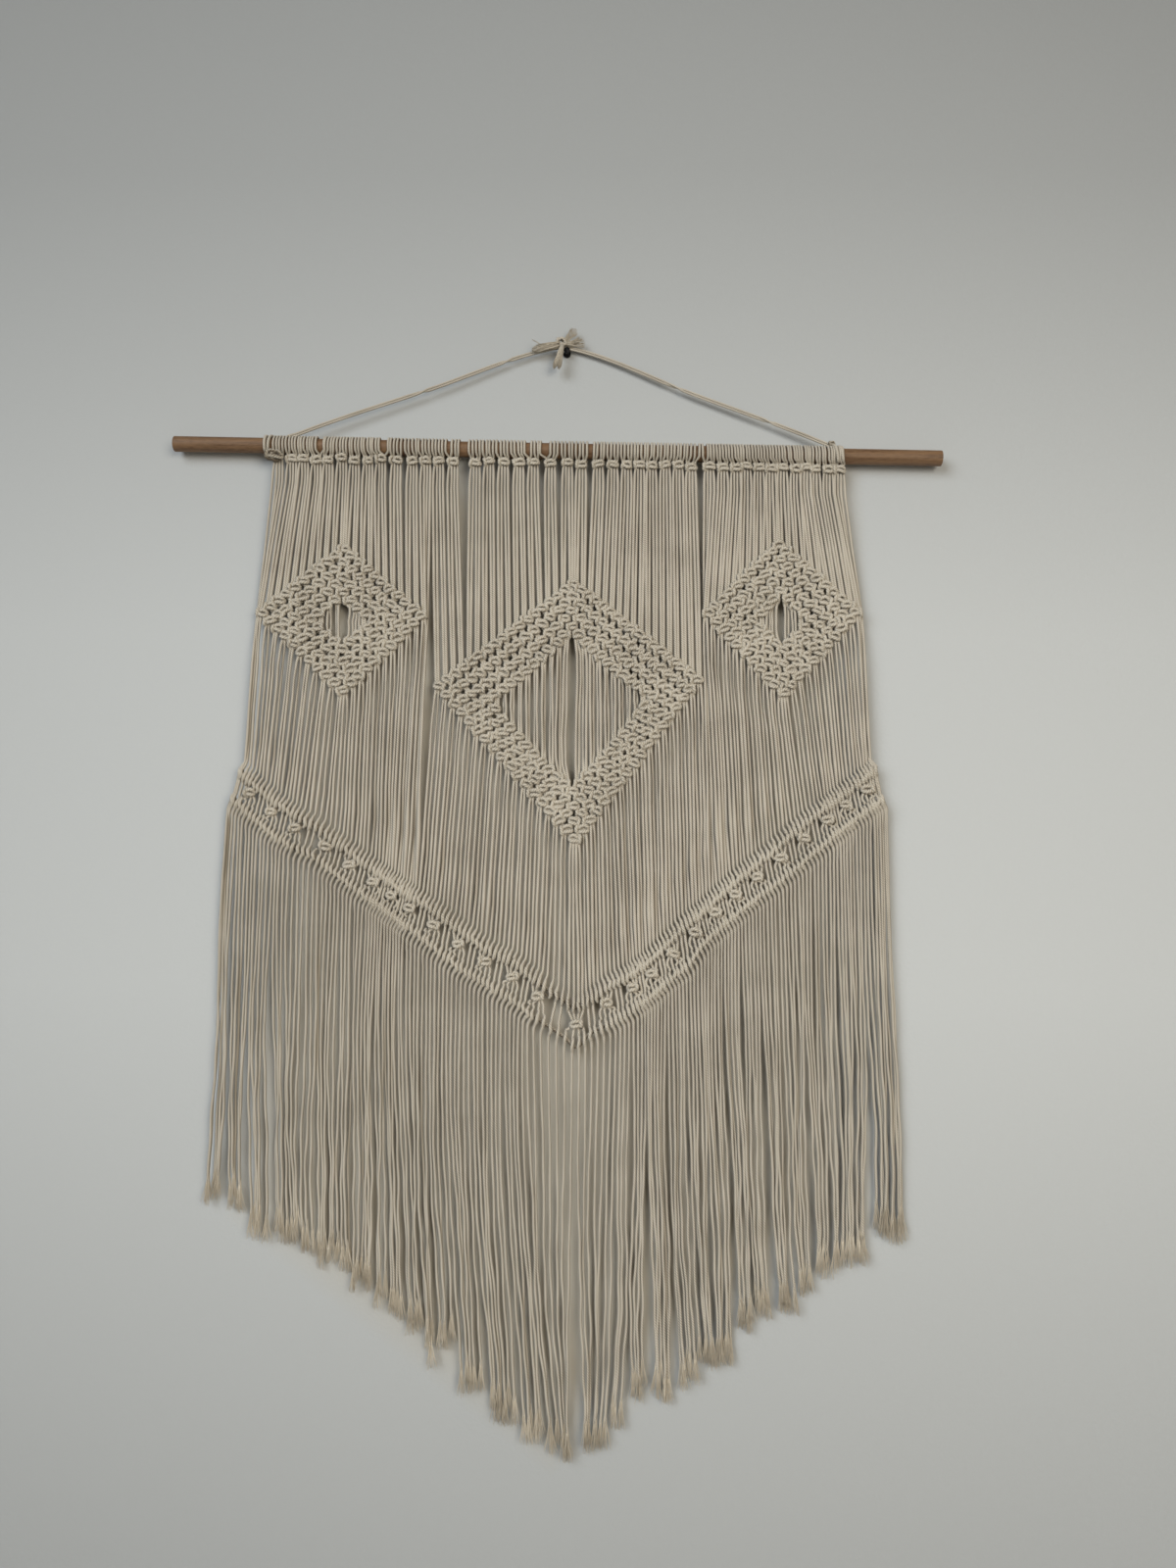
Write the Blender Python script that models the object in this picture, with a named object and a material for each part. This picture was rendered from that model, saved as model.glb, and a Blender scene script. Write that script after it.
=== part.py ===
"""Macrame wall hanging: knotted cotton strings on a wooden dowel, hung from a wall screw.

Metres. X runs to the right, Y into the wall and Z up. The origin is the middle of the screw's
collar, where it lies on the wall, so the wall is the plane y = 0 and everything hangs before it.

168 strings hang from 42 heading knots on the dowel: 12 groups of four in the left panel, 18 in
the middle one and 12 in the right one. Each panel has a knotted diamond with a window, and a
chevron band of two corded ridges gathers all the strings above a long fringe.
"""

import math

import bmesh
import bpy
import numpy as np
from mathutils import Vector

MM = 0.001
CLEARANCE = 0.3 * MM

# The dowel, which hangs a little lower at its right end
DOWEL_LEFT = Vector((-0.462, -0.014, -0.1227))
DOWEL_RIGHT = Vector((0.438, -0.014, -0.1399))
DOWEL_RADIUS = 9 * MM
DOWEL_CHAMFER = 1 * MM
WRAP_INNER = 9.45 * MM
WRAP_OUTER = 13 * MM

# Where the cords are wound on the dowel, between the places where the wood shows
WRAP_RUNS = (
    ("wraps_1", -0.3450, -0.2955),
    ("wraps_2", -0.2870, -0.2205),
    ("wraps_3", -0.2100, -0.1400),
    ("wraps_4", -0.1345, -0.1245),
    ("wraps_5", -0.1145, -0.0470),
    ("wraps_6", -0.0405, -0.0260),
    ("wraps_7", -0.0175, 0.0265),
    ("wraps_8", 0.0335, 0.1525),
    ("wraps_9", 0.1640, 0.3190),
    ("hanger_loop_left", -0.3535, -0.3485),
    ("hanger_loop_right", 0.3196, 0.3260),
)

# The layers, by depth
STRING_Y = -13 * MM
STRING_DEPTH = 4.2 * MM
KNOT_DEPTH = 9 * MM

# The middle of each heading knot, from left to right, for the three panels
HEADING = {
    "left": (-344, -321, -307, -292, -278, -262, -247, -231, -216, -198, -179, -163),
    "middle": (-148, -131, -105, -89, -72, -54, -37, -17, 3, 19, 39, 56, 72, 87, 101, 117, 132, 147),
    "right": (168, 184, 199, 211, 226, 240, 253, 268, 280, 291, 306, 319),
}
HEADING_HALF_WIDTH = 6.6 * MM
HEADING_DROP = 13.5 * MM
HEADING_HEIGHT = 10 * MM

# Each diamond: the knots at its four corners, how many knots along a side, how far its rows sag
# in the middle, and the edges of the slot between the strings in its window
BORDER_KNOTS = 4
DIAMONDS = {
    "left": dict(
        top=(-0.2540, -0.2545), left=(-0.3450, -0.3315), right=(-0.1620, -0.3335), bottom=(-0.2480, -0.4225),
        knots=11, sag=0.006, slot=(-0.2530, -0.2470),
    ),
    "middle": dict(
        top=(0.0120, -0.2955), left=(-0.1380, -0.4165), right=(0.1520, -0.4075), bottom=(0.0170, -0.5895),
        knots=18, sag=0.023, slot=(0.0070, 0.0160),
    ),
    "right": dict(
        top=(0.2470, -0.2475), left=(0.1660, -0.3295), right=(0.3330, -0.3275), bottom=(0.2490, -0.4225),
        knots=11, sag=0.008, slot=(0.2455, 0.2500),
    ),
}
KNOT_MARGIN = 0.45

# How wide each panel is beside its diamond and where it meets the band
PANEL_AT_DIAMOND = {"left": (-0.3520, -0.1570), "middle": (-0.1440, 0.1580), "right": (0.1595, 0.3400)}
PANEL_AT_BAND = {"left": (-0.3660, -0.1540), "middle": (-0.1490, 0.1590), "right": (0.1620, 0.3530)}
STRING_GAP = 0.8 * MM

# The chevron band: the middle lines of its two ridges
BAND_CENTRE_X = 0.021
UPPER_RIDGE = (
    (-0.3735, -0.5065), (-0.3310, -0.5395), (-0.2910, -0.5675), (-0.2510, -0.5925), (-0.1910, -0.6345), (-0.1310, -0.6725),
    (-0.0710, -0.7135), (-0.0310, -0.7375), (0.0210, -0.7725), (0.0590, -0.7465), (0.0990, -0.7225), (0.1390, -0.6825),
    (0.1990, -0.6295), (0.2590, -0.5785), (0.2990, -0.5485), (0.3600, -0.5005),
)
LOWER_RIDGE = (
    (-0.3735, -0.5415), (-0.3310, -0.5765), (-0.2910, -0.6015), (-0.2510, -0.6265), (-0.1910, -0.6695), (-0.1310, -0.7125),
    (-0.0910, -0.7415), (-0.0310, -0.7775), (0.0210, -0.8135), (0.0590, -0.7865), (0.0990, -0.7605), (0.1390, -0.7265),
    (0.1990, -0.6675), (0.2490, -0.6285), (0.2990, -0.5855), (0.3615, -0.5375),
)
RIDGE_HALF = 5.3 * MM
RIDGE_DEPTH = 9 * MM
RIDGE_STEPS = 36
BAND_RAIL = 2.5 * MM
BAND_KNOTS = 13
BAND_KNOT_WIDTH = 10.5 * MM
FIRST_KNOT = {"left": -0.021, "right": 0.053}
LAST_KNOT = {"left": -0.347, "right": 0.340}
CENTRE_KNOT_HALF = 9 * MM

# The fringe's bunches: the strings in each, the edges of its foot in millimetres, and its length's end
FRINGE = {
    "left": (
        (5, -371, -354, -978), (5, -347, -330, -981), (5, -322, -303, -1012), (7, -294, -268, -1014),
        (3, -263, -253, -1028), (5, -250, -232, -1040), (4, -226, -213, -1046), (6, -209, -190, -1062),
        (3, -184, -173, -1080), (4, -169, -155, -1088), (4, -151, -137, -1105), (4, -133, -123, -1147),
        (4, -119, -105, -1118), (6, -93, -73, -1158), (7, -64, -38, -1186), (5, -29, -12, -1212),
        (3, -5, 6, -1220), (4, 11, 20, -1221),
    ),
    "right": (
        (7, 31, 56, -1212), (3, 62, 72, -1192), (4, 82, 96, -1162), (6, 103, 123, -1162),
        (5, 130, 149, -1148), (5, 152, 166, -1138), (6, 169, 186, -1126), (5, 190, 206, -1096),
        (5, 209, 224, -1082), (6, 231, 249, -1080), (5, 252, 268, -1062), (5, 272, 286, -1040),
        (4, 290, 300, -1034), (8, 303, 325, -1030), (10, 336, 366, -1006),
    ),
}
FRINGE_LEVELS = 4
FRINGE_SWAY = 2 * MM
COMB_SPINE = 5 * MM

# The hanging cord: two strands side by side on each side, tied above the screw
STRAND_RADIUS = 1.45 * MM
STRAND_SPACING = 3.3 * MM
STRAND_POINTS = 20
LEG_ENDS = {
    "left": (Vector((-0.3170, -0.0140, -0.1091)), Vector((-0.0130, -0.0062, 0.0060))),
    "right": (Vector((0.3050, -0.0140, -0.1211)), Vector((0.0005, -0.0055, 0.0058))),
}

SCREW_PROFILE = (
    (0.0, 4.5), (1.2, 4.5), (1.5, 4.2), (1.5, 2.2), (9.0, 2.2), (9.0, 3.1), (9.3, 3.7),
    (10.2, 3.8), (11.2, 3.3), (11.9, 2.1),
)
SCREW_SIDES = 24


def material(name, colour, roughness, metallic=0.0):
    made = bpy.data.materials.new(name)
    made.use_nodes = True
    shader = made.node_tree.nodes["Principled BSDF"]
    shader.inputs["Base Color"].default_value = (*colour, 1.0)
    shader.inputs["Roughness"].default_value = roughness
    shader.inputs["Metallic"].default_value = metallic
    return made


def add_mesh(name, points, faces, look, smooth=False):
    """An object from points and faces, with its faces turned outwards."""
    mesh = bpy.data.meshes.new(name)
    mesh.from_pydata([tuple(map(float, p)) for p in points], [], [tuple(map(int, f)) for f in faces])
    work = bmesh.new()
    work.from_mesh(mesh)
    bmesh.ops.recalc_face_normals(work, faces=work.faces)
    work.to_mesh(mesh)
    work.free()
    mesh.materials.append(look)
    if smooth:
        mesh.shade_smooth()
        mesh.set_sharp_from_angle(angle=math.radians(40))
    made = bpy.data.objects.new(name, mesh)
    bpy.context.collection.objects.link(made)
    return made


def slab(name, look, x, y, z, depth, keep=None):
    """A closed plate over a grid of its middle surface; keep says which cells of the grid are there."""
    x, y, z, depth = np.broadcast_arrays(x, y, z, depth)
    rows, columns = x.shape
    keep = np.ones((rows - 1, columns - 1), bool) if keep is None else keep
    number = np.arange(rows * columns).reshape(rows, columns)
    front = np.stack([x, y - depth / 2, z], -1).reshape(-1, 3)
    back = np.stack([x, y + depth / 2, z], -1).reshape(-1, 3)
    over = rows * columns
    faces, edges = [], {}
    for i, j in zip(*np.nonzero(keep)):
        ring = (number[i, j], number[i, j + 1], number[i + 1, j + 1], number[i + 1, j])
        faces.append(ring)
        faces.append(tuple(over + k for k in reversed(ring)))
        for a, b in zip(ring, ring[1:] + ring[:1]):
            if (b, a) in edges:
                del edges[b, a]
            else:
                edges[a, b] = True
    faces += [(b, a, a + over, b + over) for a, b in edges]
    used = sorted({k for face in faces for k in face})
    place = {k: n for n, k in enumerate(used)}
    points = np.concatenate([front, back])[used]
    return add_mesh(name, points, [[place[k] for k in face] for face in faces], look)


def turned(name, look, profile, sides):
    """A solid turned about the Y axis, from (distance out of the wall, radius) in millimetres."""
    angles = np.arange(sides) * 2 * math.pi / sides
    points = [
        (r * MM * math.cos(a), -out * MM, r * MM * math.sin(a)) for out, r in profile for a in angles
    ]
    faces = [
        (k * sides + n, k * sides + (n + 1) % sides, (k + 1) * sides + (n + 1) % sides, (k + 1) * sides + n)
        for k in range(len(profile) - 1)
        for n in range(sides)
    ]
    faces.append(tuple(range(sides)))
    faces.append(tuple(range((len(profile) - 1) * sides, len(profile) * sides)))
    return add_mesh(name, points, faces, look, smooth=True)


def dowel_z(x):
    """The height of the dowel's middle line at x."""
    slope = (DOWEL_RIGHT.z - DOWEL_LEFT.z) / (DOWEL_RIGHT.x - DOWEL_LEFT.x)
    return DOWEL_LEFT.z + (np.asarray(x) - DOWEL_LEFT.x) * slope


def dowel_frame():
    """An empty on the dowel's middle line, turned so that its X axis runs along the wood."""
    along = DOWEL_RIGHT - DOWEL_LEFT
    frame = bpy.data.objects.new("dowel_axis", None)
    bpy.context.collection.objects.link(frame)
    frame.location = (0, DOWEL_LEFT.y, float(dowel_z(0)))
    frame.rotation_euler = (0, math.atan2(-along.z, along.x), 0)
    return frame, along.length


def make_dowel(frame, length, look):
    work = bmesh.new()
    bmesh.ops.create_cone(
        work, cap_ends=True, segments=32, radius1=DOWEL_RADIUS, radius2=DOWEL_RADIUS, depth=length
    )
    mesh = bpy.data.meshes.new("dowel")
    work.to_mesh(mesh)
    work.free()
    mesh.materials.append(look)
    made = bpy.data.objects.new("dowel", mesh)
    bpy.context.collection.objects.link(made)
    made.parent = frame
    made.location = ((DOWEL_LEFT.x + DOWEL_RIGHT.x) / 2, 0, 0)
    made.rotation_euler = (0, math.pi / 2, 0)
    bevel = made.modifiers.new("chamfer", "BEVEL")
    bevel.width = DOWEL_CHAMFER
    bevel.segments = 2
    bevel.limit_method = "ANGLE"


def make_wraps(frame, name, start, end, look, sides=20):
    """The cords wound on a stretch of the dowel, as one sleeve round it."""
    angles = np.arange(sides) * 2 * math.pi / sides
    corners = ((start, WRAP_OUTER), (end, WRAP_OUTER), (end, WRAP_INNER), (start, WRAP_INNER))
    points = [(x, r * math.cos(a), r * math.sin(a)) for x, r in corners for a in angles]
    faces = [
        (k * sides + n, k * sides + (n + 1) % sides, (k + 1) % 4 * sides + (n + 1) % sides, (k + 1) % 4 * sides + n)
        for k in range(4)
        for n in range(sides)
    ]
    add_mesh(name, points, faces, look).parent = frame


def diamond_point(diamond, s, t):
    """A point of a diamond: s runs from its top corner to its left one, t to its right one."""
    s, t = np.broadcast_arrays(s, t)
    corner = {k: np.array(diamond[k]) for k in ("top", "left", "right", "bottom")}
    flat = (
        ((1 - s) * (1 - t))[..., None] * corner["top"]
        + (s * (1 - t))[..., None] * corner["left"]
        + ((1 - s) * t)[..., None] * corner["right"]
        + (s * t)[..., None] * corner["bottom"]
    )
    sag = 16 * diamond["sag"] * np.clip(s * (1 - s), 0, None) * np.clip(t * (1 - t), 0, None)
    return flat[..., 0], flat[..., 1] - sag


def diamond_limits(diamond):
    """The outer and inner edges of a diamond's knotted border, as fractions of its side."""
    step = 1 / (diamond["knots"] - 1)
    outer = KNOT_MARGIN * step
    inner = (BORDER_KNOTS - 1 + KNOT_MARGIN) * step
    return -outer, inner, 1 - inner, 1 + outer


def make_frame_diamond(name, diamond, look):
    """A small diamond: one knotted plate with a window."""
    a, b, c, d = diamond_limits(diamond)
    lines = np.array([a, (a + b) / 2, b, (b + c) / 2, c, (c + d) / 2, d])
    x, z = diamond_point(diamond, lines[:, None], lines[None, :])
    keep = np.ones((6, 6), bool)
    keep[2:4, 2:4] = False
    slab(name, look, x, STRING_Y, z, KNOT_DEPTH, keep)


def make_split_diamond(name, diamond, look):
    """The big diamond, in its four borders, each a strip of knots."""
    a, b, c, d = diamond_limits(diamond)
    gap = 0.002
    borders = {
        "upper_left": ((a, c), (a, b)),
        "lower_left": ((c + gap, d), (a, c)),
        "lower_right": ((b + gap, d), (c + gap, d)),
        "upper_right": ((a, b), (b + gap, d)),
    }
    for side, (s_range, t_range) in borders.items():
        counts = [7 if high - low > 0.5 else 2 for low, high in (s_range, t_range)]
        s = np.linspace(*s_range, counts[0])
        t = np.linspace(*t_range, counts[1])
        x, z = diamond_point(diamond, s[:, None], t[None, :])
        slab(f"{name}_{side}", look, x, STRING_Y, z, KNOT_DEPTH)


def make_window(name, diamond, look):
    """The strings that hang in a diamond's window, on both sides of its slot."""
    _, b, c, _ = diamond_limits(diamond)
    top, bottom = diamond_point(diamond, b, b), diamond_point(diamond, c, c)
    for side, corner, slot, inward in (
        ("left", diamond_point(diamond, c, b), diamond["slot"][0], 1),
        ("right", diamond_point(diamond, b, c), diamond["slot"][1], -1),
    ):
        reach = slot - corner[0]
        x = corner[0] + reach * np.array([0.08, 0.4, 0.7, 1.0])
        rim = np.linspace(0, 1, 9)
        if side == "left":
            upper = diamond_point(diamond, b + (c - b) * rim[::-1], np.full(9, b))
            lower = diamond_point(diamond, np.full(9, c), b + (c - b) * rim)
        else:
            upper = diamond_point(diamond, np.full(9, b), b + (c - b) * rim[::-1])
            lower = diamond_point(diamond, b + (c - b) * rim, np.full(9, c))
        order = slice(None, None, inward)
        high = np.interp(x, upper[0][order], upper[1][order]) - 2 * CLEARANCE
        low = np.interp(x, lower[0][order], lower[1][order]) + 2 * CLEARANCE
        high = np.minimum(high, top[1] - 2 * CLEARANCE)
        low = np.maximum(low, bottom[1] + 2 * CLEARANCE)
        slab(f"{name}_{side}", look, np.stack([x, x]), STRING_Y, np.stack([high, low]), STRING_DEPTH)


def teeth(low, high, count, gap):
    """The edges of equal teeth between low and high: left, right, left, right and so on."""
    cuts = np.linspace(low, high, count + 1)
    return np.stack([cuts[:-1] + gap / 2, cuts[1:] - gap / 2], -1).ravel()


def comb(name, look, root_x, tip_x, root_z, tip_z, spine, spine_depth, levels=2, sway=0.0, neck=0.06):
    """A string curtain: teeth that hang from, or stand on, one spine along its edge.

    root_x and tip_x hold the teeth's edges at the spine and at their tips. root_z is the spine's
    own edge, tip_z the tips, spine its height, and sway how far the teeth wander.
    """
    way = 1 if tip_z.mean() > root_z.mean() else -1
    inner_z = root_z + way * spine
    steps = np.concatenate([[neck], np.linspace(0, 1, levels + 1)[1:]])
    tooth = np.arange(len(root_x)) // 2
    xs, ys, zs, depths = [root_x, root_x], [STRING_Y, STRING_Y], [root_z, inner_z], [spine_depth] * 2
    for step in steps:
        drift = math.sin(math.pi * step) * sway
        xs.append(root_x + (tip_x - root_x) * step + drift * np.sin(2.4 * tooth + 3 * step) / 2)
        ys.append(STRING_Y + step * sway * np.sin(1.7 * tooth))
        zs.append(inner_z + (tip_z - inner_z) * step)
        depths.append(STRING_DEPTH)
    x, z = np.array(xs), np.array(zs)
    y = np.array([np.broadcast_to(v, x.shape[1]) for v in ys])
    depth = np.array(depths)[:, None]
    keep = np.ones((x.shape[0] - 1, x.shape[1] - 1), bool)
    keep[1:, 1::2] = False
    slab(name, look, x, y, z, depth, keep)


def make_upper_strings(panel, look):
    """The strings from the heading knots to the diamond's upper edges, in two halves."""
    diamond, centres = DIAMONDS[panel], np.array(HEADING[panel]) * MM
    a, _, _, d = diamond_limits(diamond)
    top = diamond_point(diamond, a, a)
    half = len(centres) // 2
    root = np.stack([centres - HEADING_HALF_WIDTH, centres + HEADING_HALF_WIDTH], -1).ravel()
    root[2::2] = np.maximum(root[2::2], root[1:-1:2] + CLEARANCE)
    low, high = PANEL_AT_DIAMOND[panel]
    for side, corner, part, span in (
        ("left", diamond_point(diamond, d, a), slice(0, 2 * half), (low, float(top[0]))),
        ("right", diamond_point(diamond, a, d), slice(2 * half, None), (float(top[0]), high)),
    ):
        root_x = root[part]
        tip_x = teeth(*span, half, STRING_GAP)
        ends = sorted([(float(corner[0]), float(corner[1])), (float(top[0]), float(top[1]))])
        tip_z = np.interp(tip_x, *zip(*ends)) + 2 * CLEARANCE
        comb(
            f"strings_upper_{panel}_{side}", look, root_x, tip_x, dowel_z(root_x) - HEADING_DROP,
            tip_z, HEADING_HEIGHT, KNOT_DEPTH,
        )


def make_lower_strings(panel, look):
    """The strings from the diamond's lower edges to the band, in two halves."""
    diamond = DIAMONDS[panel]
    a, _, _, d = diamond_limits(diamond)
    bottom = diamond_point(diamond, d, d)
    half = len(HEADING[panel]) // 2
    low, high = PANEL_AT_DIAMOND[panel]
    band_low, band_high = PANEL_AT_BAND[panel]
    middle = BAND_CENTRE_X if panel == "middle" else (band_low + band_high) / 2
    for side, corner, span, band in (
        ("left", diamond_point(diamond, d, a), (low, float(bottom[0])), (band_low, middle)),
        ("right", diamond_point(diamond, a, d), (float(bottom[0]), high), (middle, band_high)),
    ):
        root_x = teeth(*band, half, STRING_GAP)
        tip_x = teeth(*span, half, STRING_GAP)
        ends = sorted([(float(corner[0]), float(corner[1])), (float(bottom[0]), float(bottom[1]))])
        tip_z = np.interp(tip_x, *zip(*ends)) - 2 * CLEARANCE
        root_z = ridge_z(UPPER_RIDGE, root_x) + RIDGE_HALF + 3 * CLEARANCE
        comb(
            f"strings_lower_{panel}_{side}", look, root_x, tip_x, root_z, tip_z, COMB_SPINE, STRING_DEPTH,
        )


def ridge_z(ridge, x):
    """The height of a ridge's middle line at x, with its bends rounded off."""
    x = np.asarray(x)
    reach = np.minimum(8 * MM, np.abs(x - BAND_CENTRE_X))
    near = x[..., None] + reach[..., None] * np.linspace(-1, 1, 5)
    return np.interp(near, *zip(*ridge)).mean(-1)


def make_ridge(name, ridge, side, look):
    """Half of a corded ridge, from the band's centre outwards."""
    inner = BAND_CENTRE_X + (CLEARANCE / 2 if side == "right" else -CLEARANCE / 2)
    outer = ridge[-1][0] if side == "right" else ridge[0][0]
    x = np.linspace(min(inner, outer), max(inner, outer), RIDGE_STEPS)
    z = ridge_z(ridge, x)
    slab(f"{name}_{side}", look, np.stack([x, x]), STRING_Y, np.stack([z + RIDGE_HALF, z - RIDGE_HALF]), RIDGE_DEPTH)


def make_band(side, look):
    """Between the ridges: knots of four strings, pinched in the middle, with plain pairs between."""
    outward = 1 if side == "right" else -1
    knots = np.linspace(FIRST_KNOT[side], LAST_KNOT[side], BAND_KNOTS)
    pitch = abs(knots[1] - knots[0])
    knot_half, pair_half = pitch * 0.325, pitch * 0.155
    middles = np.concatenate([knots, knots + outward * pitch / 2])
    middles[-1] = knots[-1] + outward * (knot_half + 2.6 * MM)
    halves = np.concatenate([np.full(BAND_KNOTS, knot_half), np.full(BAND_KNOTS, pair_half)])
    halves[-1] = 2 * MM
    first = knots[0] - outward * pitch / 2
    middles = np.append(middles, first)
    halves = np.append(halves, pair_half)
    pinched = np.concatenate([np.full(BAND_KNOTS, BAND_KNOT_WIDTH / 2), halves[BAND_KNOTS:]])
    depths = np.concatenate([np.full(BAND_KNOTS, KNOT_DEPTH), np.full(BAND_KNOTS + 1, STRING_DEPTH)])
    order = np.argsort(middles)
    middles, halves, pinched, depths = (v[order] for v in (middles, halves, pinched, depths))
    wide = np.stack([middles - halves, middles + halves], -1).ravel()
    tight = np.stack([middles - pinched, middles + pinched], -1).ravel()
    top = ridge_z(UPPER_RIDGE, wide) - RIDGE_HALF - 3 * CLEARANCE
    bottom = ridge_z(LOWER_RIDGE, wide) + RIDGE_HALF + 3 * CLEARANCE
    high, low = top - BAND_RAIL, bottom + BAND_RAIL
    z = np.array([top, high, high + (low - high) * 0.3, high + (low - high) * 0.6, low, bottom])
    x = np.array([wide, wide, tight, tight, wide, wide])
    depth = np.full(x.shape, STRING_DEPTH)
    depth[2:4] = np.repeat(depths, 2)
    keep = np.ones((5, x.shape[1] - 1), bool)
    keep[1:4, 1::2] = False
    slab(f"band_{side}", look, x, STRING_Y, z, depth, keep)


def make_centre_knot(look):
    """The knot at the point of the band, where both sides meet."""
    x = BAND_CENTRE_X + np.array([-1, -0.55, 0, 0.55, 1]) * CENTRE_KNOT_HALF
    top = ridge_z(UPPER_RIDGE, x) - RIDGE_HALF - CLEARANCE
    bottom = ridge_z(LOWER_RIDGE, x) + RIDGE_HALF + CLEARANCE
    z = np.array([top, top + (bottom - top) * 0.35, top + (bottom - top) * 0.65, bottom])
    depth = np.full(z.shape, STRING_DEPTH)
    depth[1:3] = KNOT_DEPTH
    slab("band_centre_knot", look, np.broadcast_to(x, z.shape), STRING_Y, z, depth)


def make_fringe(side, look):
    """Half of the fringe, as one comb along the lower ridge."""
    bunches = FRINGE[side]
    counts = np.array([b[0] for b in bunches])
    start, end = (LOWER_RIDGE[0][0], BAND_CENTRE_X) if side == "left" else (BAND_CENTRE_X, LOWER_RIDGE[-1][0])
    cuts = start + (end - start) * np.concatenate([[0], np.cumsum(counts)]) / counts.sum()
    root_x = np.stack([cuts[:-1] + STRING_GAP / 2, cuts[1:] - STRING_GAP / 2], -1).ravel()
    tip_x = np.array([edge for b in bunches for edge in b[1:3]]) * MM
    tip_z = np.repeat([b[3] for b in bunches], 2) * MM
    root_z = ridge_z(LOWER_RIDGE, root_x) - RIDGE_HALF - 3 * CLEARANCE
    comb(
        f"fringe_{side}", look, root_x, tip_x, root_z, tip_z, COMB_SPINE, STRING_DEPTH,
        levels=FRINGE_LEVELS, sway=FRINGE_SWAY,
    )


def make_strand(name, start, end, offset, look):
    """One strand of the hanging cord, pulled taut, as a thin tube."""
    data = bpy.data.curves.new(name, "CURVE")
    data.dimensions = "3D"
    data.bevel_depth = STRAND_RADIUS
    data.bevel_resolution = 2
    data.use_fill_caps = True
    line = data.splines.new("POLY")
    line.points.add(STRAND_POINTS - 1)
    for n, point in enumerate(line.points):
        share = n / (STRAND_POINTS - 1)
        place = start.lerp(end, share) + Vector((0, 0, offset))
        point.co = (*place, 1.0)
    data.materials.append(look)
    made = bpy.data.objects.new(name, data)
    bpy.context.collection.objects.link(made)


def lump(name, centre, radii, look):
    """A tied knot, as a rounded lump."""
    work = bmesh.new()
    bmesh.ops.create_icosphere(work, subdivisions=2, radius=1.0)
    for vertex in work.verts:
        vertex.co = Vector(c * r + m for c, r, m in zip(vertex.co, radii, centre))
    mesh = bpy.data.meshes.new(name)
    work.to_mesh(mesh)
    work.free()
    mesh.materials.append(look)
    mesh.shade_smooth()
    bpy.context.collection.objects.link(bpy.data.objects.new(name, mesh))


def tuft(name, base, tip, base_half, tip_half, depth_half, look, sides=10, rings=3):
    """A free end of the tie, which opens out towards its frayed tip."""
    base, tip = Vector(base), Vector(tip)
    across = (tip - base).cross(Vector((0, 1, 0))).normalized()
    points = []
    for ring in range(rings):
        share = ring / (rings - 1)
        middle = base.lerp(tip, share)
        half = base_half + (tip_half - base_half) * share
        for n in range(sides):
            angle = 2 * math.pi * n / sides
            points.append(middle + across * half * math.cos(angle) + Vector((0, depth_half * math.sin(angle), 0)))
    faces = [
        (k * sides + n, k * sides + (n + 1) % sides, (k + 1) * sides + (n + 1) % sides, (k + 1) * sides + n)
        for k in range(rings - 1)
        for n in range(sides)
    ]
    faces.append(tuple(range(sides)))
    faces.append(tuple(range((rings - 1) * sides, rings * sides)))
    add_mesh(name, points, faces, look, smooth=True)


def make_hanger(look):
    """The hanging cord's strands, its tie above the screw with three free ends, and its knots on the dowel."""
    for side, (start, end) in LEG_ENDS.items():
        for name, offset in (("upper", STRAND_SPACING / 2), ("lower", -STRAND_SPACING / 2)):
            make_strand(f"hanger_{side}_{name}", start, end, offset, look)
    lump("hanger_knot", (-0.0068, -0.0082, 0.0085), (0.0056, 0.0048, 0.0058), look)
    tuft("tie_end_up", (-0.0009, -0.0092, 0.0100), (0.0135, -0.0110, 0.0165), 0.0030, 0.0125, 0.0026, look)
    tuft("tie_end_left", (-0.0118, -0.0118, 0.0070), (-0.0400, -0.0118, -0.0010), 0.0032, 0.0045, 0.0023, look)
    tuft("tie_end_down", (-0.0064, -0.0152, 0.0060), (-0.0098, -0.0160, -0.0250), 0.0026, 0.0056, 0.0022, look)
    lump("hanger_tie_left", (-0.3420, -0.0222, -0.1450), (0.0095, 0.0042, 0.0070), look)
    lump("hanger_tie_right", (0.3120, -0.0140, -0.1210), (0.0045, 0.0035, 0.0030), look)


def main():
    for old in list(bpy.data.objects):
        bpy.data.objects.remove(old, do_unlink=True)
    cotton = material("cotton", (0.62, 0.56, 0.46), 0.95)
    beech = material("beech", (0.36, 0.20, 0.10), 0.55)
    black = material("black_metal", (0.02, 0.02, 0.02), 0.35, 0.8)

    turned("wall_screw", black, SCREW_PROFILE, SCREW_SIDES)
    frame, length = dowel_frame()
    make_dowel(frame, length, beech)
    for name, start, end in WRAP_RUNS:
        make_wraps(frame, name, start, end, cotton)
    make_hanger(cotton)
    for panel, diamond in DIAMONDS.items():
        make_upper_strings(panel, cotton)
        if panel == "middle":
            make_split_diamond("diamond_middle", diamond, cotton)
        else:
            make_frame_diamond(f"diamond_{panel}", diamond, cotton)
        make_window(f"window_{panel}", diamond, cotton)
        make_lower_strings(panel, cotton)
    for side in ("left", "right"):
        make_ridge("ridge_upper", UPPER_RIDGE, side, cotton)
        make_band(side, cotton)
        make_ridge("ridge_lower", LOWER_RIDGE, side, cotton)
        make_fringe(side, cotton)
    make_centre_knot(cotton)


main()
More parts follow.
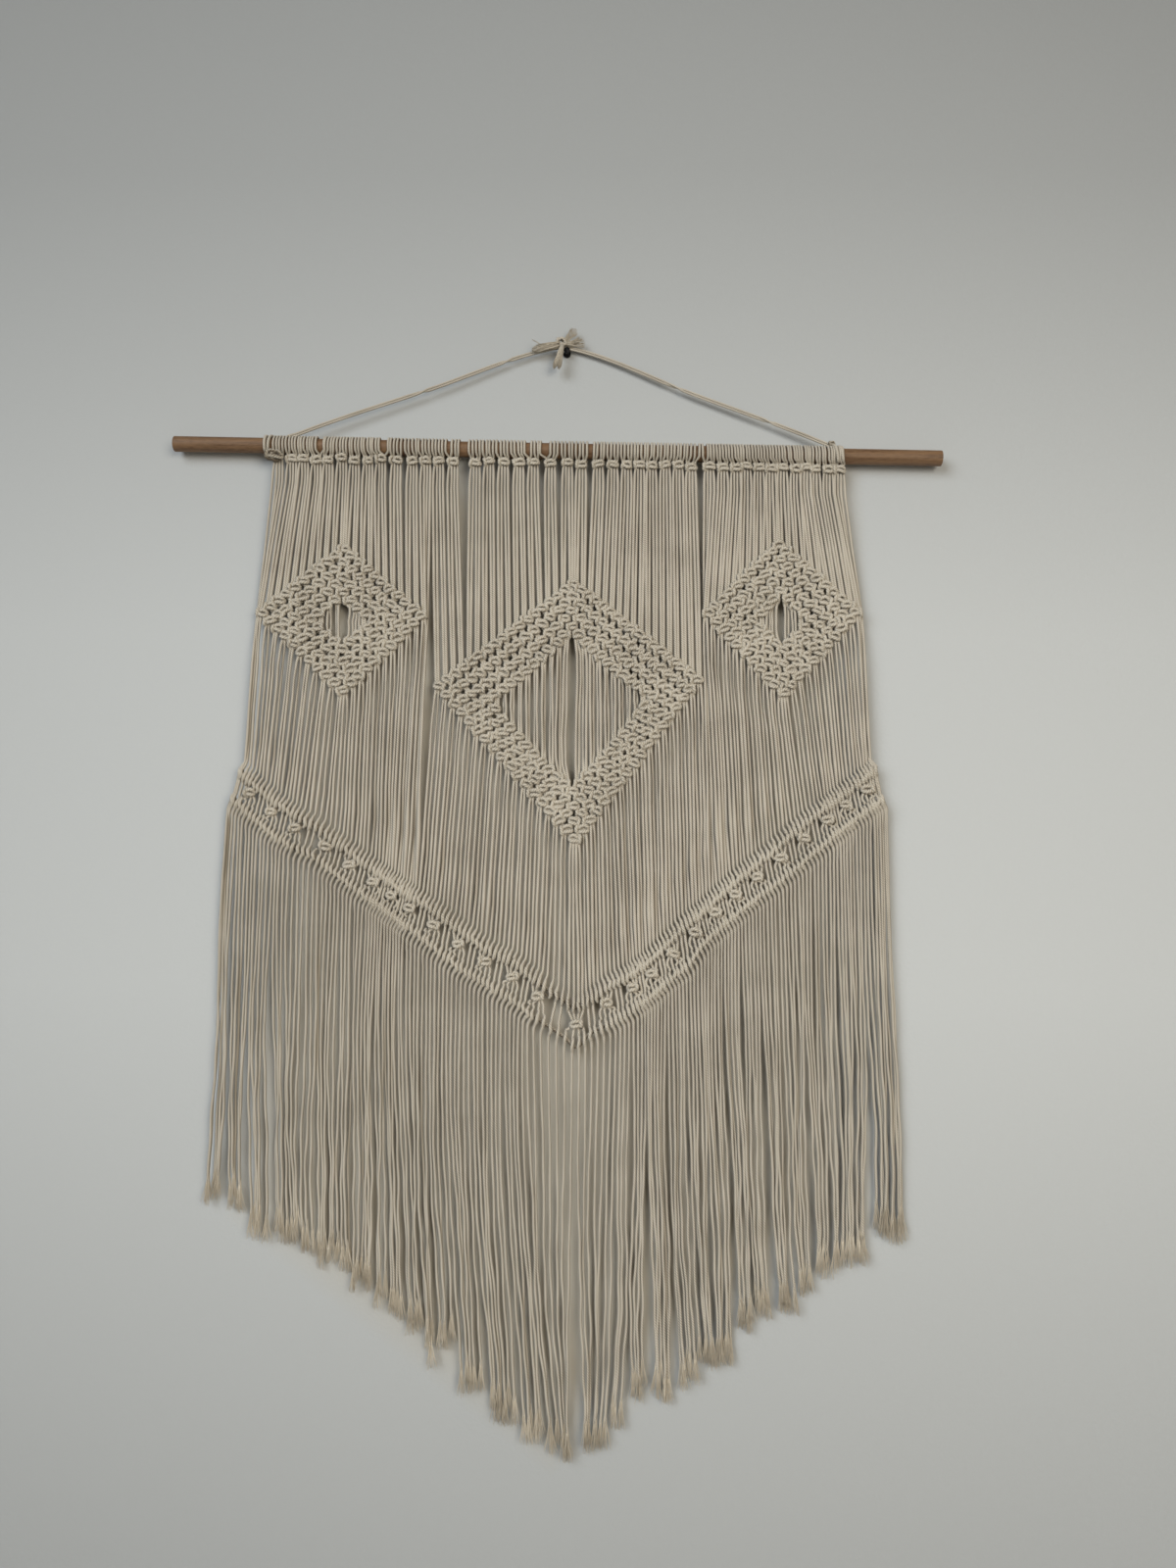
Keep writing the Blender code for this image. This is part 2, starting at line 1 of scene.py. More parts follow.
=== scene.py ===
"""Looks of a macrame wall hanging: cotton cords, their knots, the dowel, the screw and the stage.

Metres, in the frame of the CAD model: X to the right, Y into the wall, Z up, and the origin on the
wall at the screw. Tables of places are in millimetres and are scaled by MM where they are used.
"""

import math

import bpy
import numpy as np
from mathutils import Matrix, Vector


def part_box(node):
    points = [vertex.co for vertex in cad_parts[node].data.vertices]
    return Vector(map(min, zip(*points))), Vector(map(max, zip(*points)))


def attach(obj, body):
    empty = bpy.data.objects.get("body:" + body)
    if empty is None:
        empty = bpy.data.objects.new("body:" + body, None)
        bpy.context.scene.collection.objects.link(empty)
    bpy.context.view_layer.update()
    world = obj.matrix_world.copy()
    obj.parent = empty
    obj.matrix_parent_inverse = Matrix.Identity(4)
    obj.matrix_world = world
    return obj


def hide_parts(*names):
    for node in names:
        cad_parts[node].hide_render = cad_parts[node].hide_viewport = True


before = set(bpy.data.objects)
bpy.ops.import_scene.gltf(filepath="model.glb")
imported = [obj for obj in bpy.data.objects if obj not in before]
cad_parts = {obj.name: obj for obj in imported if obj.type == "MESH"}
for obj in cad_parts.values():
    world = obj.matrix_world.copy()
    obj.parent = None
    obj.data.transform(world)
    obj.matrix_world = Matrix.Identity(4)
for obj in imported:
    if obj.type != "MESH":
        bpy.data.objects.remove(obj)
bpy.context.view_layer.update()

bl_info = {
    "name": "Macrame Wall Hanging",
    "version": (1, 0, 0),
    "blender": (4, 5, 0),
    "location": "View3D > Sidebar > Macrame",
    "description": "Builds the cords, knots, ridges and fringe of a macrame wall hanging",
    "category": "Object",
}

MM = 0.001
TO_RIGHT, TO_WALL = (1, 0, 0), (0, 1, 0)

# The strings are counted from the left. A knot binds four, in slots 0 to 3, and a band knot takes the
# room of six, since it leaves two plain
STRINGS = 168
MIDDLE_STRING = (STRINGS - 1) / 2
STRINGS_PER_KNOT = 4
MIDDLE_SLOT = (STRINGS_PER_KNOT - 1) / 2
STRINGS_PER_BAND_KNOT = 6

# Each panel: its first string, the one after its last, and the wound parts of the CAD model it covers
PANELS = {"left": (0, 48, (1, 2, 3)), "middle": (48, 120, (4, 5, 6, 7, 8)), "right": (120, 168, (9,))}

# Millimetres: the sideways room of one string, and how near the wall the tip of a fibre may come
NEAREST = 0.6

# Depths in millimetres, as y: of strings from a knot's sides or its middle, of the strings that pass
# a small diamond, and of the knots of the heading, the diamonds and the band
SIDE_DEPTH, INNER_DEPTH, PASSING_DEPTH = -14.6, -12.0, -10.0
HEADING_DEPTH, DIAMOND_DEPTH, BAND_DEPTH = -14.6, -13.0, -13.4

# The dowel's middle line, from the CAD model: it hangs lower at its right end
DOWEL_LOW, DOWEL_HIGH = (np.array(corner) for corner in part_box("dowel"))
DOWEL_RADIUS = 9 * MM
DOWEL_Y = (DOWEL_LOW[1] + DOWEL_HIGH[1]) / 2
DOWEL_SLOPE = -(DOWEL_HIGH[2] - DOWEL_LOW[2] - 2 * DOWEL_RADIUS) / (DOWEL_HIGH[0] - DOWEL_LOW[0])

# Where the strings go over the dowel: first and last edge of each run in millimetres, the angles
# from its top at which a string's way is set, in degrees, half a wound string's width, and where the
# four strings of a knot come down beside its middle
WRAP_RUNS = (
    (-343.0, -290.1), (-284.4, -217.0), (-209.3, -137.4), (-133.9, -122.6), (-114.2, -45.3),
    (-40.9, -26.4), (-18.9, 27.8), (32.7, 153.5), (155.8, 160.0), (163.3, 323.0),
)
WRAP_ANGLES = (-150, -120, -90, -60, -30, 0, 25, 50, 75, 95, 115, 132, 148, 165)
HALF_WOUND = 1.65
WOUND_FEET = (-5.4, -2.8, 2.8, 5.4)

# A string's way through its heading knot: how far the four are spread, its depth and its height, and
# then how far they are spread under the knot and how far down
HEADING_PASS = ((9.0, -15.8, 3.6), (9.6, -14.6, -3.6), (10.6, -14.4, -8.0))
HEADING_FOOT = ((11.4, 16.0), (11.8, 30.0))

# A string's way through a diamond's knot: height and depth where it enters and where it leaves, how
# far the four are spread there, how far they are spread under the last knot and how far down, and in
# the window its distance from the slot and from the next string
DIAMOND_PASS = ((4.2, -13.4), (-4.2, -12.8))
DIAMOND_SPREAD = 8.6
DIAMOND_FOOT = (10.5, 11)
SLOT_MARGIN, WINDOW_STEP = 2.5, 3.7

# The middle of each heading knot, and how far under the dowel's middle line it hangs
HEADING_X = (
    -337, -321, -307, -292, -278, -262, -247, -231, -216, -198, -179, -163,
    -148, -131, -105, -89, -72, -54, -37, -17, 3, 19, 39, 56, 72, 87, 101, 117, 132, 147,
    168, 184, 199, 211, 226, 240, 253, 268, 280, 291, 306, 319,
)
HEADING_DROP = 17.0

# The width of a string as a share of its loose width, which it has in the diamonds' knots and in the
# hitches: tight round the dowel and in its heading knot, taut where it hangs, thin in the fringe
LOOSE, TIGHT, TAUT, THIN = 1.0, 0.71, 0.82, 0.76

# Each diamond: its first string, the knots at its four corners, how many knots along a side, how
# far its rows sag in the middle, and the edges of the slot between the strings in its window
BORDER_KNOTS = 4
DIAMONDS = {
    "left": dict(
        first=2, top=(-254, -254.5), left=(-345, -331.5), right=(-162, -333.5), bottom=(-248, -422.5),
        knots=11, sag=6, slot=(-253, -247),
    ),
    "middle": dict(
        first=48, top=(12, -295.5), left=(-138, -416.5), right=(152, -407.5), bottom=(17, -589.5),
        knots=18, sag=23, slot=(8.4, 14.2),
    ),
    "right": dict(
        first=122, top=(247, -247.5), left=(166, -329.5), right=(333, -327.5), bottom=(249, -422.5),
        knots=11, sag=8, slot=(245.5, 250),
    ),
}

# The strings that hang past the tips of the small diamonds, and where they pass them
PASSING = {
    0: (-352.0, -331.5), 1: (-349.0, -331.5), 46: (-158.5, -333.5), 47: (-155.5, -333.5),
    120: (161.0, -329.5), 121: (164.0, -329.5), 166: (337.5, -327.5), 167: (340.5, -327.5),
}

# The chevron band's knots, from left to right, the place of its point and of its ends, how far the
# strings lean outwards on each ridge, and on each side of the point the strings and the millimetres
# over which that lean grows. Then the middle lines of its two ridges
BAND_KNOTS = (
    -347, -321, -294, -259, -231, -204, -183, -163, -136, -108, -79, -49, -21,
    21, 53, 81, 102, 125, 149, 171, 193, 217, 243, 269, 295, 316, 340,
)
BAND_CENTRE = 21
BAND_ENDS = (-362, 352)
BAND_LEAN = 3.4
POINT_STRINGS, POINT_ROOM = 7, 30
UPPER_RIDGE = (
    (-373.5, -506.5), (-351, -522.5), (-331, -539.5), (-311, -554.5), (-291, -567.5), (-271, -577.5),
    (-251, -592.5), (-221, -613.5), (-191, -634.5), (-161, -654.5), (-131, -672.5), (-101, -694.5),
    (-71, -714.5), (-51, -722.5), (-31, -737.5), (-11, -752.5), (12, -767.5), (21, -772.5),
    (29, -767.5), (59, -746.5), (79, -736.5), (99, -722.5), (119, -702.5), (139, -682.5),
    (159, -666.5), (179, -647.5), (199, -629.5), (229, -605.5), (259, -578.5), (279, -562.5),
    (299, -548.5), (319, -532.5), (339, -517.5), (360, -500.5),
)
LOWER_RIDGE = (
    (-373.5, -541.5), (-351, -558.5), (-331, -576.5), (-311, -591.5), (-291, -602.5), (-271, -610.5),
    (-251, -626.5), (-221, -647.5), (-191, -668.5), (-161, -689.5), (-131, -712.5), (-101, -734.5),
    (-71, -750.5), (-51, -762.5), (-31, -777.5), (-11, -790.5), (9, -803.5), (21, -813.5),
    (34, -800.5), (59, -786.5), (74, -777.5), (99, -760.5), (119, -742.5), (139, -727.5),
    (159, -700.5), (179, -682.5), (199, -665.5), (229, -642.5), (257, -620.5), (279, -602.5),
    (299, -585.5), (319, -569.5), (339, -554.5), (361.5, -538.5),
)

# The fringe's bunches: the strings in each, the edges of its foot and the height of its ends
BUNCHES = (
    (5, -371, -354, -977), (5, -347, -330, -981), (5, -322, -303, -1011), (4, -294, -280, -1013),
    (3, -277, -268, -1014), (3, -263, -253, -1027), (5, -250, -232, -1038), (4, -226, -213, -1045),
    (6, -209, -190, -1061), (3, -184, -173, -1079), (4, -169, -155, -1087), (4, -151, -137, -1104),
    (3, -133, -125, -1117), (1, -124, -122, -1147), (4, -119, -105, -1117), (6, -93, -73, -1157),
    (7, -64, -38, -1184), (5, -29, -12, -1209), (3, -5, 6, -1217), (4, 11, 20, -1218),
    (7, 31, 56, -1210), (3, 62, 72, -1190), (4, 82, 96, -1160), (6, 103, 123, -1160),
    (5, 130, 149, -1147), (5, 152, 166, -1136), (6, 169, 186, -1124), (5, 190, 206, -1094),
    (5, 209, 224, -1080), (6, 231, 249, -1078), (5, 252, 268, -1060), (5, 272, 286, -1038),
    (4, 290, 300, -1033), (8, 303, 325, -1028), (10, 336, 366, -1004),
)

# One string's two half hitches round a ridge's holding cord, as steps outwards, in depth and in height
HITCH = np.array(
    (
        (-2.0, -13.8, 7.9), (-0.9, -15.8, 4.1), (-0.4, -17.4, 0.7), (-0.4, -16.2, -2.8), (-0.2, -12.6, -4.3),
        (0.0, -9.6, -1.6), (0.0, -9.7, 1.8), (0.1, -12.8, 4.2), (0.3, -16.4, 3.3), (0.5, -17.6, -0.2),
        (0.9, -15.8, -3.6), (2.6, -13.5, -6.4),
    )
)
HOLDING_Y = -12.6

# How a string comes to its first hitch: it hangs this far inside its crossing, and its last two
# points before the hitch are this far above the ridge
HITCH_LEAD = 4.6
ABOVE_RIDGE = (16, 11.6)

# The shares of its way down at which a band string is set, then its passage through a knot: step,
# the four strings' spacing and their height; and round the eye under the knot: step, share of the
# eye's width, sway outwards and share of the way down
BAND_PARTS = (0, 0.12, 0.3, 0.42, 0.52, 0.66, 0.8, 0.93, 1)
BAND_PASS = ((2, 3.0, 4.4), (3, 2.3, 0.0), (4, 3.0, -4.4))
BAND_EYE = ((5, 1.0, 0.8, 0.46), (6, 1.1, 2.0, 0.72))
OUTER_EYE, INNER_EYE = 7.0, 2.6

# How a fringe string leaves its hitch, as steps outwards, in depth and in height, and the depth at
# which it hangs; then the size and speed of its bunch's slow wave and of its own
FRINGE_LEAVE = ((1.4, -16.1, -3.4), (2.7, -14.2, -6.0), (4.4, -13.0, -8.8), (5.0, -12.8, -14.0))
FRINGE_DEPTH = -11.6
BUNCH_WAVE, OWN_WAVE = (1.9, 5.0), (1.1, 8.0)

# A frayed end: the plies of a cord, half a fibre's width, how far inside the cord it starts, and how
# far its ply and the fibre itself move out, in openings
PLIES = 3
FIBRE_RADIUS = 0.26 * MM
FRAY_ROOT = 9 * MM
PLY_OPENING, OWN_OPENING = 1.7, 3.0

# A square knot: the middle line of the cord whose bars cross its front, and the other one,
# which crosses its back and comes forward round the bars on the left
KNOT_BARS = np.array(
    (
        (-4.0, 1.4, 0.6), (-3.4, -2.4, 1.5), (0.6, -4.3, 3.1), (4.4, -2.9, 2.3), (6.0, -0.2, 0.2),
        (4.7, -3.0, -1.9), (0.9, -4.5, -2.2), (-3.2, -2.7, -1.5), (-4.0, 1.2, -2.4),
    )
)
KNOT_WRAP = np.array(
    (
        (4.0, 2.2, 2.0), (0.0, 2.8, 3.2), (-3.4, 0.0, 3.9), (-5.6, -3.2, 2.4), (-5.3, -4.9, 0.0),
        (-5.4, -3.1, -2.2), (-3.6, 0.6, -3.4), (0.0, 3.0, -3.2), (4.0, 2.2, -2.0),
    )
)
KNOT_CORD = 2.3

# The hanging cord: how it runs from the tie above the screw to the dowel, and where its strands cross
LEG_ROUTES = {
    "left": (
        (-9.5, -6.4, 5.9), (-13, -6.4, 5.2), (-164, -10.4, -51.6), (-300, -13.6, -103.1),
        (-316, -14, -109.9), (-329, -14.4, -114.2),
    ),
    "right": (
        (-0.5, -5.6, 5.7), (3, -5.6, 4.9), (152, -9.8, -57.6), (292, -13.7, -116.3),
        (304, -14, -121.8), (312, -14.4, -125.4),
    ),
}
STRAND_CROSSINGS = {"left": (-70, -170), "right": (128, 236)}
STRAND_RADIUS = 1.25
STRAND_OFFSET = 1.3

# Half the widths, in metres, of the cores of the tie's free ends, of the cords of the knots at the
# dowel's left and right end, and of the turns round the dowel there
CORE_RADIUS, LEFT_KNOT_RADIUS, RIGHT_KNOT_RADIUS, TURN_RADIUS = 0.0009, 0.0021, 0.0013, 0.0019

# The loop over the screw and the cores of the tie's free ends
TIE_LOOP = ((-9, -7, 5), (-5, -5.4, 6.2), (-1, -5.0, 5.2), (3, -5.4, 3.6), (6, -5.6, 2.6))
TIE_CORES = (
    ((-10.0, -10.8, 8.0), (-17, -12.0, 7.6), (-25, -12.2, 6.2), (-33.0, -11.8, 4.0)),
    ((-10.0, -11.6, 5.6), (-18, -13.2, 4.4), (-26, -13.4, 2.8), (-33.5, -12.4, 0.6)),
    ((-10.5, -11.6, 3.4), (-18, -12.6, 1.2), (-26, -12.6, -0.8), (-33.0, -12.4, -3.0)),
    ((-4.6, -14.2, 7.0), (-5.0, -15.2, 1.0), (-5.8, -15.8, -5.0), (-6.6, -15.8, -11.0)),
    ((-5.8, -14.2, 7.0), (-6.6, -15.2, 1.0), (-8.2, -15.8, -5.0), (-9.6, -15.8, -11.0)),
)

# The tie's fans of fibres: their root, first tip and last tip, how many they are, and in metres half
# a fibre's width and how far the roots stray
TIE_FANS = (
    ((-4.6, -9.4, 8.6), (3.0, -8.0, 28.0), (11.5, -9.0, 19.0), 30, 0.00048, 0.0018),
    ((-3.4, -9.8, 7.4), (13.0, -9.0, 16.5), (18.5, -10.5, 2.6), 30, 0.00048, 0.0018),
    ((-11.0, -12.0, 5.6), (-33.0, -11.6, 6.6), (-36.5, -12.6, -4.4), 150, 0.0005, 0.0036),
    ((-28.0, -11.6, 4.0), (-38.6, -11.0, 10.6), (-39.5, -11.0, 11.8), 4, 0.00042, 0.0004),
    ((-5.8, -15.0, 3.5), (-15.6, -16.0, -19.6), (-10.6, -16.4, -22.0), 60, 0.0004, 0.0014),
    ((-4.8, -15.0, 3.5), (-10.6, -16.4, -22.0), (-5.4, -16.0, -20.6), 60, 0.0004, 0.0014),
)

# The turns of the hanging cord round the dowel: where each starts, how far it climbs along the dowel
# in half a turn, and its distance from the dowel's middle line
DOWEL_TURNS = ((-352.0, 0.0, 10.9), (-345.5, -3.5, 11.0), (312.0, 6.0, 11.9), (318.0, 6.0, 11.1))

# The noise scales of the cotton's fuzz and of its slow changes of tone, and the height of its plies
# in metres
FUZZ_SCALE, TONE_SCALE = 2600.0, 26.0
PLY_BUMP = 0.0004

# The outline of the hanging on the wall, in metres, behind which the wall gets its painted warm bounce
# light: how far its top is below the screw and its sides are from the middle, how far its lowest point is
# down, and how steeply its lower edge climbs from it
OUTLINE_TOP, OUTLINE_SIDE, OUTLINE_FOOT, OUTLINE_CLIMB = 0.16, 0.31, 1.2, 0.7

# The stage, in metres: how far it reaches to each side, the y and z of two edges of the wall and of
# the floor, and the lights: their place, what they look at, width, spread in degrees, power and colour
STAGE_SIDE = 4
WALL_EDGES = (0.0012, -2.0, 0.0012, 3)
FLOOR_EDGES = (-6, -1.9, 3, -1.9)
LIGHTS = {
    "window": ((-2.4, -3.6, 0.6), (0.1, 0.0, -0.75), 3.6, 60, 19.0, (0.88, 0.94, 1.0)),
    "fill": ((1.6, -3.2, -0.5), (0.2, 0.0, -0.75), 2.2, 70, 10.0, (1.0, 0.92, 0.80)),
}
FLOOR_COLOUR = (0.68, 0.67, 0.65, 1.0)
ROOM_COLOUR, ROOM_STRENGTH = (1.0, 0.89, 0.74, 1.0), 0.15

# The camera's sensor and lens in millimetres, its place, and its axes as the columns
CAMERA_SENSOR, CAMERA_LENS = 36.0, 27.0
CAMERA_AT = (0.0581, -1.2998, -0.7603)
CAMERA_AXES = (
    (0.99976, -0.00694, 0.02083),
    (0.01926, -0.17827, -0.98379),
    (0.01054, 0.98396, -0.17809),
)


# ---------------------------------------------------------------- settings


class CordSettings(bpy.types.PropertyGroup):
    """Sizes of the cotton cords."""

    radius: bpy.props.FloatProperty(
        name="String radius", description="Half the width of a loose string", default=0.00205, unit="LENGTH"
    )
    knot_cord: bpy.props.FloatProperty(
        name="Knot cord radius",
        description="Half the width of a cord where a knot pulls it tight",
        default=KNOT_CORD * MM,
        unit="LENGTH",
    )
    ply_step: bpy.props.FloatProperty(
        name="Ply step", description="From one ply to the next along a cord", default=0.0026, unit="LENGTH"
    )
    fray: bpy.props.FloatProperty(
        name="Fray", description="Un-twisted end of a fringe string", default=0.024, unit="LENGTH"
    )
    fibres: bpy.props.IntProperty(
        name="Fibres", description="Loose fibres at the end of a fringe string", default=26, min=3, max=60
    )
    sides: bpy.props.IntProperty(
        name="Sides", description="Sides of a string's section", default=6, min=4, max=16
    )


class FinishSettings(bpy.types.PropertyGroup):
    """Colours of the pieces and of the stage."""

    cotton: bpy.props.FloatVectorProperty(
        name="Cotton", description="Undyed cotton", subtype="COLOR", default=(0.403, 0.354, 0.275)
    )
    # Painted shade: the colour in the grooves between the plies, darker where shade falls.
    cotton_painted_shade: bpy.props.FloatVectorProperty(
        name="Cotton shade", description="Between the plies", subtype="COLOR", default=(0.136, 0.102, 0.064)
    )
    # Painted highlight: the colour on the plies' crests, lighter where the light catches them.
    cotton_painted_highlight: bpy.props.FloatVectorProperty(
        name="Cotton light", description="On the plies", subtype="COLOR", default=(0.737, 0.677, 0.567)
    )
    wood: bpy.props.FloatVectorProperty(
        name="Wood", description="Bare beech", subtype="COLOR", default=(0.215, 0.122, 0.060)
    )
    wood_grain: bpy.props.FloatVectorProperty(
        name="Grain", description="Darker grain of the beech", subtype="COLOR", default=(0.135, 0.068, 0.030)
    )
    wall: bpy.props.FloatVectorProperty(
        name="Wall", description="Pale grey wall", subtype="COLOR", default=(0.634, 0.658, 0.658)
    )


# ---------------------------------------------------------------- tubes


def smooth(points, steps):
    """A curve through the points. Between two of them it is the cubic that has, at each point, the
    direction of the parabola through that point and its two neighbours, by the distances along."""
    points = np.asarray(points, float)
    leg = np.diff(points, axis=-2)
    length = np.maximum(np.linalg.norm(leg, axis=-1, keepdims=True), 1e-9)
    way = leg / length
    before, after = length[..., :-1, :], length[..., 1:, :]
    inner = (way[..., :-1, :] * after + way[..., 1:, :] * before) / (before + after)
    slope = np.concatenate([way[..., :1, :], inner, way[..., -1:, :]], -2)
    parts = points[..., :-1, :], points[..., 1:, :], slope[..., :-1, :], slope[..., 1:, :], length
    a, b, start, end, length = (part[..., None, :] for part in parts)
    t = (np.arange(steps) / steps)[:, None]
    curve = (
        a * (2 * t**3 - 3 * t**2 + 1)
        + b * (3 * t**2 - 2 * t**3)
        + start * length * (t**3 - 2 * t**2 + t)
        + end * length * (t**3 - t**2)
    )
    flat = curve.reshape(*points.shape[:-2], -1, points.shape[-1])
    return np.concatenate([flat, points[..., -1:, :]], -2)


def unit(vectors):
    """The vectors divided by their lengths."""
    return vectors / np.maximum(np.linalg.norm(vectors, axis=-1, keepdims=True), 1e-12)


class Yarn:
    """Tubes gathered into one mesh.

    A tube's surface at (step p, angle a) is its line's point p plus radius times (cos a times the
    first normal plus sin a times the second). The first normal is the reference direction less its
    part along the line, the second is square to both. Both ends are closed by one face each. The UV
    map holds the turn round the tube, from 0 to 1, and the length along it in metres.
    """

    def __init__(self, seed):
        self.points, self.loops, self.sizes, self.uvs = [], [], [], []
        self.count = 0
        self.chance = np.random.default_rng(seed)

    def add(self, lines, radius, sides, reference=TO_RIGHT):
        """Adds one tube for each line, with a radius for all or one for each of its points."""
        lines = np.asarray(lines, float)
        if lines.ndim == 2:
            lines = lines[None]
        tubes, rings, _ = lines.shape
        radius = np.broadcast_to(radius, (tubes, rings))
        along = unit(np.gradient(lines, axis=1))
        reference = np.asarray(reference, float)
        first = unit(reference - along * (along @ reference)[..., None])
        second = np.cross(along, first)
        angle = np.arange(sides) * 2 * np.pi / sides
        round_it = np.cos(angle)[:, None] * first[:, :, None] + np.sin(angle)[:, None] * second[:, :, None]
        self.points.append((lines[:, :, None] + radius[..., None, None] * round_it).reshape(-1, 3))

        number = self.count + np.arange(tubes * rings * sides).reshape(tubes, rings, sides)
        after = np.roll(number, -1, axis=2)
        quads = np.stack([number[:, :-1], after[:, :-1], after[:, 1:], number[:, 1:]], -1)
        step = np.linalg.norm(np.diff(lines, axis=1), axis=-1)
        length = np.concatenate([np.zeros((tubes, 1)), np.cumsum(step, 1)], 1)
        length = length + self.chance.random((tubes, 1))
        turn = np.broadcast_to(np.arange(sides) / sides, (tubes, rings - 1, sides))
        low = np.broadcast_to(length[:, :-1, None], turn.shape)
        high = np.broadcast_to(length[:, 1:, None], turn.shape)
        u = np.stack([turn, turn + 1 / sides, turn + 1 / sides, turn], -1)
        v = np.stack([low, low, high, high], -1)
        self.loops.append(quads.ravel())
        self.uvs.append(np.stack([u, v], -1).reshape(-1, 2))
        self.sizes.append(np.full(quads.size // 4, 4))

        for ring, order in ((0, slice(None, None, -1)), (-1, slice(None))):
            cap = number[:, ring, order]
            self.loops.append(cap.ravel())
            self.sizes.append(np.full(tubes, sides))
            spot = np.stack(np.broadcast_arrays(np.arange(sides) / sides, length[:, ring, None]), -1)
            self.uvs.append(spot[:, order].reshape(-1, 2))
        self.count += number.size

    def finish(self, name, material):
        """Makes the mesh object, and lets it ride on the model's one body."""
        points, loops = np.concatenate(self.points), np.concatenate(self.loops)
        sizes = np.concatenate(self.sizes)
        mesh = bpy.data.meshes.new(name)
        mesh.vertices.add(len(points))
        mesh.vertices.foreach_set("co", points.ravel())
        mesh.loops.add(len(loops))
        mesh.loops.foreach_set("vertex_index", loops.astype(np.int32))
        mesh.polygons.add(len(sizes))
        starts = np.concatenate([[0], np.cumsum(sizes)[:-1]])
        mesh.polygons.foreach_set("loop_start", starts.astype(np.int32))
        mesh.polygons.foreach_set("loop_total", sizes.astype(np.int32))
        mesh.polygons.foreach_set("use_smooth", np.ones(len(sizes), bool))
        layer = mesh.uv_layers.new(name="along")
        layer.data.foreach_set("uv", np.concatenate(self.uvs).astype(np.float32).ravel())
        mesh.update(calc_edges=True)
        mesh.validate()
        mesh.materials.append(material)
        piece = bpy.data.objects.new(name, mesh)
        bpy.context.collection.objects.link(piece)
        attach(piece, "root")
        return piece


# ---------------------------------------------------------------- where everything is


def dowel_z(x):
    """The height of the dowel's middle line at x, in millimetres: a straight line."""
    middle = (DOWEL_LOW + DOWEL_HIGH) / 2 / MM
    return middle[2] + (np.asarray(x, float) - middle[0]) * DOWEL_SLOPE


def ridge_z(ridge, x):
    """The height of a ridge's middle line at x, in millimetres, straight between the table's rows."""
    return np.interp(x, *zip(*ridge))


def lattice(diamond, s, t):
    """A knot's place in a diamond: between its four corners, with s the share of the way to the left
    corner and t to the right one, less a sag of 16 s (1 - s) t (1 - t)."""
    s, t = np.broadcast_arrays(np.asarray(s, float), np.asarray(t, float))
    corner = {k: np.array(diamond[k], float) for k in ("top", "left", "right", "bottom")}
    flat = (
        ((1 - s) * (1 - t))[..., None] * corner["top"]
        + (s * (1 - t))[..., None] * corner["left"]
        + ((1 - s) * t)[..., None] * corner["right"]
        + (s * t)[..., None] * corner["bottom"]
    )
    flat[..., 1] -= 16 * diamond["sag"] * s * (1 - s) * t * (1 - t)
    return flat


def has_knot(diamond, i, j):
    """Whether the diamond has a knot i steps to the left and j steps to the right of its top one."""
    last = diamond["knots"] - 1
    inside = (i >= 0) & (j >= 0) & (i <= last) & (j <= last)
    low, high = BORDER_KNOTS, last - BORDER_KNOTS
    window = (i >= low) & (j >= low) & (i <= high) & (j <= high)
    return inside & ~window


def knots_of(diamond):
    """Every knot of a diamond, as (x, z) in millimetres."""
    i, j = np.meshgrid(np.arange(diamond["knots"]), np.arange(diamond["knots"]), indexing="ij")
    keep = has_knot(diamond, i, j)
    share = 1 / (diamond["knots"] - 1)
    return lattice(diamond, i[keep] * share, j[keep] * share)


def way_through(diamond, place):
    """The knots that one string passes, from the top: (row, x, z, slot in the knot).

    The string's pair is the left pair of a knot in every other row and the right pair of one in the
    rows between, so that each row binds two neighbouring pairs.
    """
    pair, seat = place // 2, place % 2
    rows = np.arange(2 * diamond["knots"] - 1)
    left = (pair + 1 - rows) % 2 == 0
    across = np.where(left, pair + 1, pair)
    i, j = (rows - across) // 2, (rows + across) // 2
    keep = has_knot(diamond, i, j)
    share = 1 / (diamond["knots"] - 1)
    spots = lattice(diamond, i[keep] * share, j[keep] * share)
    slot = np.where(left[keep], seat, seat + 2)
    return rows[keep], spots[:, 0], spots[:, 1], slot


def spread(slot, width):
    """Sideways places of a knot's four strings, for slots 0 to 3."""
    return (np.asarray(slot) - MIDDLE_SLOT) * width / 3


def outwards(string):
    """-1 for the strings left of the band's point, 1 for those right of it and less at the point."""
    return np.clip((np.asarray(string) - MIDDLE_STRING) / POINT_STRINGS, -1, 1)


def band_places():
    """Where each string crosses the band, in millimetres, by even steps between its knots."""
    knots = len(BAND_KNOTS)
    seats = MIDDLE_STRING + STRINGS_PER_BAND_KNOT * (np.arange(knots) - (knots - 1) / 2)
    seats = np.concatenate([[MIDDLE_SLOT], seats, [STRINGS - 1 - MIDDLE_SLOT]])
    return np.interp(np.arange(STRINGS), seats, [BAND_ENDS[0], *BAND_KNOTS, BAND_ENDS[1]])


def crossing(ridge):
    """Where each string crosses a ridge: the strings lean outwards between the two."""
    middle = band_places()
    lean = BAND_LEAN * np.clip((middle - BAND_CENTRE) / POINT_ROOM, -1, 1)
    return middle - lean if ridge == "upper" else middle + lean


def drift(chance, count, size):
    """Small random steps, from -size to size."""
    return (chance.random(count) - 0.5) * 2 * size


def stray(chance, size):
    """One small random step, from -size to size."""
    return drift(chance, 1, size)[0]


